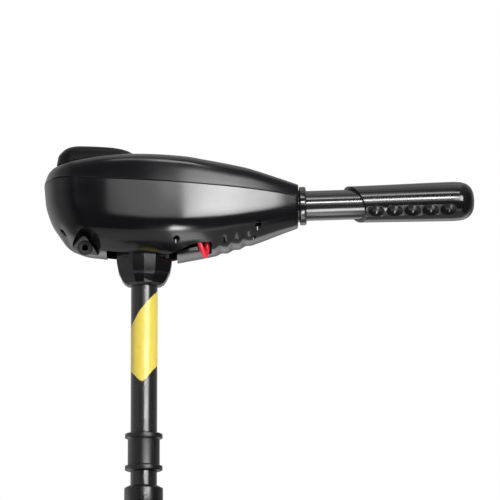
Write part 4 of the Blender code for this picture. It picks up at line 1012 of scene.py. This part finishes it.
def make_yoke():
    pivot = TILT_AT - SHAFT_AT
    yoke = join(turned([(23, 20), (23, -80), (18.4, -80), (18.4, 20)]),
                moved(box((-38, -20, -13), (0, 20, 13)), pivot),
                moved(rod(14, -30.7, 30.7, ROUND), pivot, ALONG_Y),
                moved(rod(11, 20, 33, ROUND), (0, 0, TENSION_AT.z), ALONG_MINUS_X))
    yoke = carve(yoke, rod(18.4, -90, 30, LATHE),
                 moved(rod(5.4, -40, 40), pivot, ALONG_Y),
                 box((-26.2, -6.4, -36.4), (-10, 6.4, -23.6)),
                 moved(rod(4.4, 10, 40), (0, 0, TENSION_AT.z), ALONG_MINUS_X))
    show("yoke", yoke, ["tilt_yoke"], SHAFT_AT, bevel=0.6)
    profile = [(0, 62), (9, 62), (13, 60), (14, 56), (14, 46), (12, 43.5), (7, 42), (7, 38),
               (4, 38), (4, 23.2), (0, 23.2)]
    knob = fluted(profile, ROUND, 1.0, 15.2, 42, 64, 8)
    show("tension_grip", knob, ["tension_knob"], TENSION_AT, ALONG_MINUS_X)


def rounded_bar(width, height, corner, start, end):
    """A bar of a rounded rectangle's section, along Z."""
    return plate(rounded_rectangle(-height / 2, height / 2, width / 2, corner), start, end)


def make_bracket():
    """The clamp: an upturned U over the transom, with cheeks that carry the tilt bolt."""
    inner = CLAMP_GAP / 2
    outer = inner + JAW
    outline = [(-inner, 0), (-inner, BRACKET_LOW + 6), (-inner - 3, BRACKET_LOW),
               (-outer + 3, BRACKET_LOW), (-outer, BRACKET_LOW + 6)]
    outline += arc((-outer + 12, 2), 12, 180, 90, 16)
    outline += [(-x, z) for x, z in reversed(outline)]
    joined, bores = [], []
    for place in CLAMP_PLACES.values():
        side = math.copysign(1, place.y)
        cheek = arc((TILT_AT.x, TILT_AT.z), 15, 90, 250, 32)
        cheek += [(-outer + 4, -62), (-outer + 4, TILT_AT.z + 13.8)]
        low, high = (31, 38) if side > 0 else (-38, -31)
        joined += [moved(plate(cheek, low, high), turn=UPRIGHT),
                   moved(rod(13, outer - 4, 52, ROUND), (0, place.y, place.z), ALONG_X)]
        bores.append(moved(rod(5.3, 10, 70), (0, place.y, place.z), ALONG_X))
    bracket = join(moved(plate(outline, -55, 55), turn=UPRIGHT), *joined)
    bracket = carve(bracket, moved(rod(5.3, -60, 60), (TILT_AT.x, 0, TILT_AT.z), ALONG_Y),
                    moved(rounded_bar(32, 40, 8, -60, -20), (0, 0, -74), ALONG_X), *bores)
    show("bracket", bracket, ["clamp_bracket"], bevel=1.0)


def make_tilt_bolt():
    place = (TILT_AT.x, 0, TILT_AT.z)
    bolt = [(0, 47), (5, 47), (5, -38.4), (9.5, -38.4), (9.5, -43), (7, -45), (0, -45.4)]
    show("pivot_bolt", turned(bolt, ROUND, 0.5), ["tilt_bolt"], place, ALONG_Y)
    profile = [(0, 62), (12, 62), (16.5, 60), (18, 56), (18, 47), (15, 43), (9, 42), (9, 38.4),
               (5.3, 38.4), (5.3, 50), (0, 50)]
    knob = fluted(profile, LATHE, 1.0, 19.4, 42.6, 64, 8)
    show("pivot_knob", knob, ["tilt_knob"], place, ALONG_Y)


def make_clamp_screws():
    pad = [(7, 26), (9, 24), (9, 20.6), (16, 19), (16, 14), (0, 14), (0, 19.5), (6.2, 19.5),
           (6.2, 26)]
    hub = [(9, 100), (11, 98), (11, 84), (9, 82.5), (5.3, 82.5), (5.3, 86), (4.3, 86),
           (4.3, 91.8), (0, 91.8), (0, 100)]
    for side, at in CLAMP_PLACES.items():
        place = (0, at.y, at.z)
        show("pad_" + side, turned(pad, edge=0.8), ["clamp_pad_" + side], place, ALONG_X)
        show("thread_" + side, turned(threaded_screw(), SMALL), ["clamp_screw_" + side],
             place, ALONG_X)
        handle = join(turned(hub, edge=0.8), rounded_bar(54, 14, 6.9, 93.0, 99.0))
        show("handle_" + side, handle, ["clamp_handle_" + side], place, ALONG_X, bevel=0.8)


def threaded_screw():
    """The clamp screw's outline, with grooves between its crests."""
    outline = [(0, 91.5), (4, 91.5), (4, 86)]
    z = 85.0
    while z > 29:
        outline += [(5.0, z), (5.0, z - 0.7), (4.3, z - 1.6), (4.3, z - 2.4)]
        z -= 3.2
    outline += [(5, 27.4), (4, 26), (4, 23.6), (5.8, 23), (5.8, 20.4), (4, 19.8), (0, 19.8)]
    return outline


# The floor, the light and the camera ----------------------
FLOOR_DROP = 4.0             # how far the fin hangs clear of the floor
AIM = Vector((11.9, 0, 298))
CAMERA_LENS = 343.8
CAMERA_AWAY = 5000.0
CAMERA_PITCH = math.radians(8.98)


def make_floor():
    bm = bmesh.new()
    bmesh.ops.create_grid(bm, x_segments=8, y_segments=8, size=0.8)
    mesh = finish_mesh(bm, "floor")
    mesh.materials.append(material("backdrop"))
    floor = placed("floor", mesh)
    floor.location.z = REST_BOUNDS[0][2] - FLOOR_DROP * MM


def aimed(obj, place, target):
    """Puts a camera or a light at a place, looking at a target, both in millimetres."""
    obj.location = Vector(place) * MM
    obj.rotation_euler = (Vector(target) - Vector(place)).to_track_quat("-Z", "Y").to_euler()


def softbox(name, place, target, width, height, glow, spread):
    """A softbox in metres, of a given brightness straight ahead and spread in degrees."""
    light = bpy.data.lights.new(name, "AREA")
    light.shape = "RECTANGLE"
    light.size = width
    light.size_y = height
    light.spread = math.radians(spread)
    half = light.spread / 2
    light.energy = glow * math.pi * width * height * (1 - half / math.tan(half))
    aimed(placed(name, light), place, target)


def make_world():
    """White behind the object; what it reflects is dark in front, brighter elsewhere."""
    world = bpy.data.worlds.new("studio")
    bpy.context.scene.world = world
    world.use_nodes = True
    tree = world.node_tree
    tree.nodes.clear()
    direction = node(tree, "TexCoord").outputs["Generated"]
    parts = node(tree, "SeparateXYZ", {"Vector": direction}).outputs
    behind = ramped(tree, parts["Y"], -0.1, 0.6, 0.05, 0.45)
    above = ramped(tree, parts["Z"], 0.45, 0.95, 0.0, 0.3)
    left = ramped(tree, parts["X"], -0.35, -0.9, 0.0, 0.5)
    below = combined(tree, ramped(tree, parts["Z"], -0.30, -0.60, 0.0, 1.4),
                     ramped(tree, parts["Y"], 0.3, 0.6, 0.0, 1.0), "MULTIPLY")
    glow = combined(tree, combined(tree, behind, above), combined(tree, left, below))
    light = node(tree, "Background", {"Color": (1, 1, 1, 1), "Strength": glow})
    white = node(tree, "Background", {"Color": (1, 1, 1, 1), "Strength": 1.0})
    seen = node(tree, "LightPath").outputs["Is Camera Ray"]
    mix = node(tree, "MixShader",
               {0: seen, 1: light.outputs[0], 2: white.outputs[0]})
    node(tree, "OutputWorld", {"Surface": mix.outputs[0]})


# Name, place, target, width, height, brightness and spread of each softbox.
LIGHTS = [
    ("key", (671, -1380, 600), (-45, 0, 345), 0.70, 0.8, 23, 46),
    ("shaft_strip", (235, -1400, 335), (0, 0, 113), 0.22, 0.22, 200, 9),
    ("front_fill", (60, -1500, 520), (0, 0, 330), 1.0, 0.5, 2.6, 60),
    ("upper_front", (250, -1100, 1440), (250, 0, 345), 0.6, 0.22, 9, 180),
    ("upper_left", (-120, -900, 1500), (-20, 0, 345), 0.5, 0.4, 2.5, 180),
    ("tiller_strip", (290, -1300, 690), (260, 0, 345), 0.5, 0.20, 45, 24),
    ("tiller_low", (300, -330, -250), (300, -330, 345), 0.35, 0.16, 1.6, 110),
    ("lower_front", (153, -700, -390), (30, -55, 310), 0.14, 0.5, 30, 30),
    ("under", (80, -190, -250), (80, -190, 345), 0.16, 0.45, 5, 90),
    ("overhead", (0, 100, 1500), (0, 0, 300), 1.2, 0.9, 0.6, 180),
    ("floor_left", (-1200, 300, -150), (0, 0, -720), 0.5, 0.3, 30, 80),
]


def make_lights():
    """A key light for the bright side panel, strips for the streaks on the round pieces."""
    for light in LIGHTS:
        softbox(*light)


def make_camera():
    camera = placed("camera", bpy.data.cameras.new("camera"))
    camera.data.lens = CAMERA_LENS
    place = AIM + Vector((0, -CAMERA_AWAY, -CAMERA_AWAY * math.tan(CAMERA_PITCH)))
    aimed(camera, place, AIM)
    bpy.context.scene.camera = camera
    bpy.context.scene.view_settings.view_transform = "Standard"


def build():
    for make in (make_housing, make_head_screws, make_cover, make_gauge, make_handle_collar,
                 make_lead_gland, make_wire_loops, make_tiller, make_shaft, make_label,
                 make_hub, make_collar, make_pod, make_skeg, make_propeller, make_sleeve,
                 make_yoke, make_bracket, make_tilt_bolt, make_clamp_screws, make_floor,
                 make_world, make_lights, make_camera):
        make()
    dress("speed_switch", "drive_rod", "magnet_upper", "magnet_lower", "brush_plate",
          "front_bearing", "rear_bearing", "shaft_seal", "armature", "commutator",
          "drive_pin", "brake_shoe")


build()
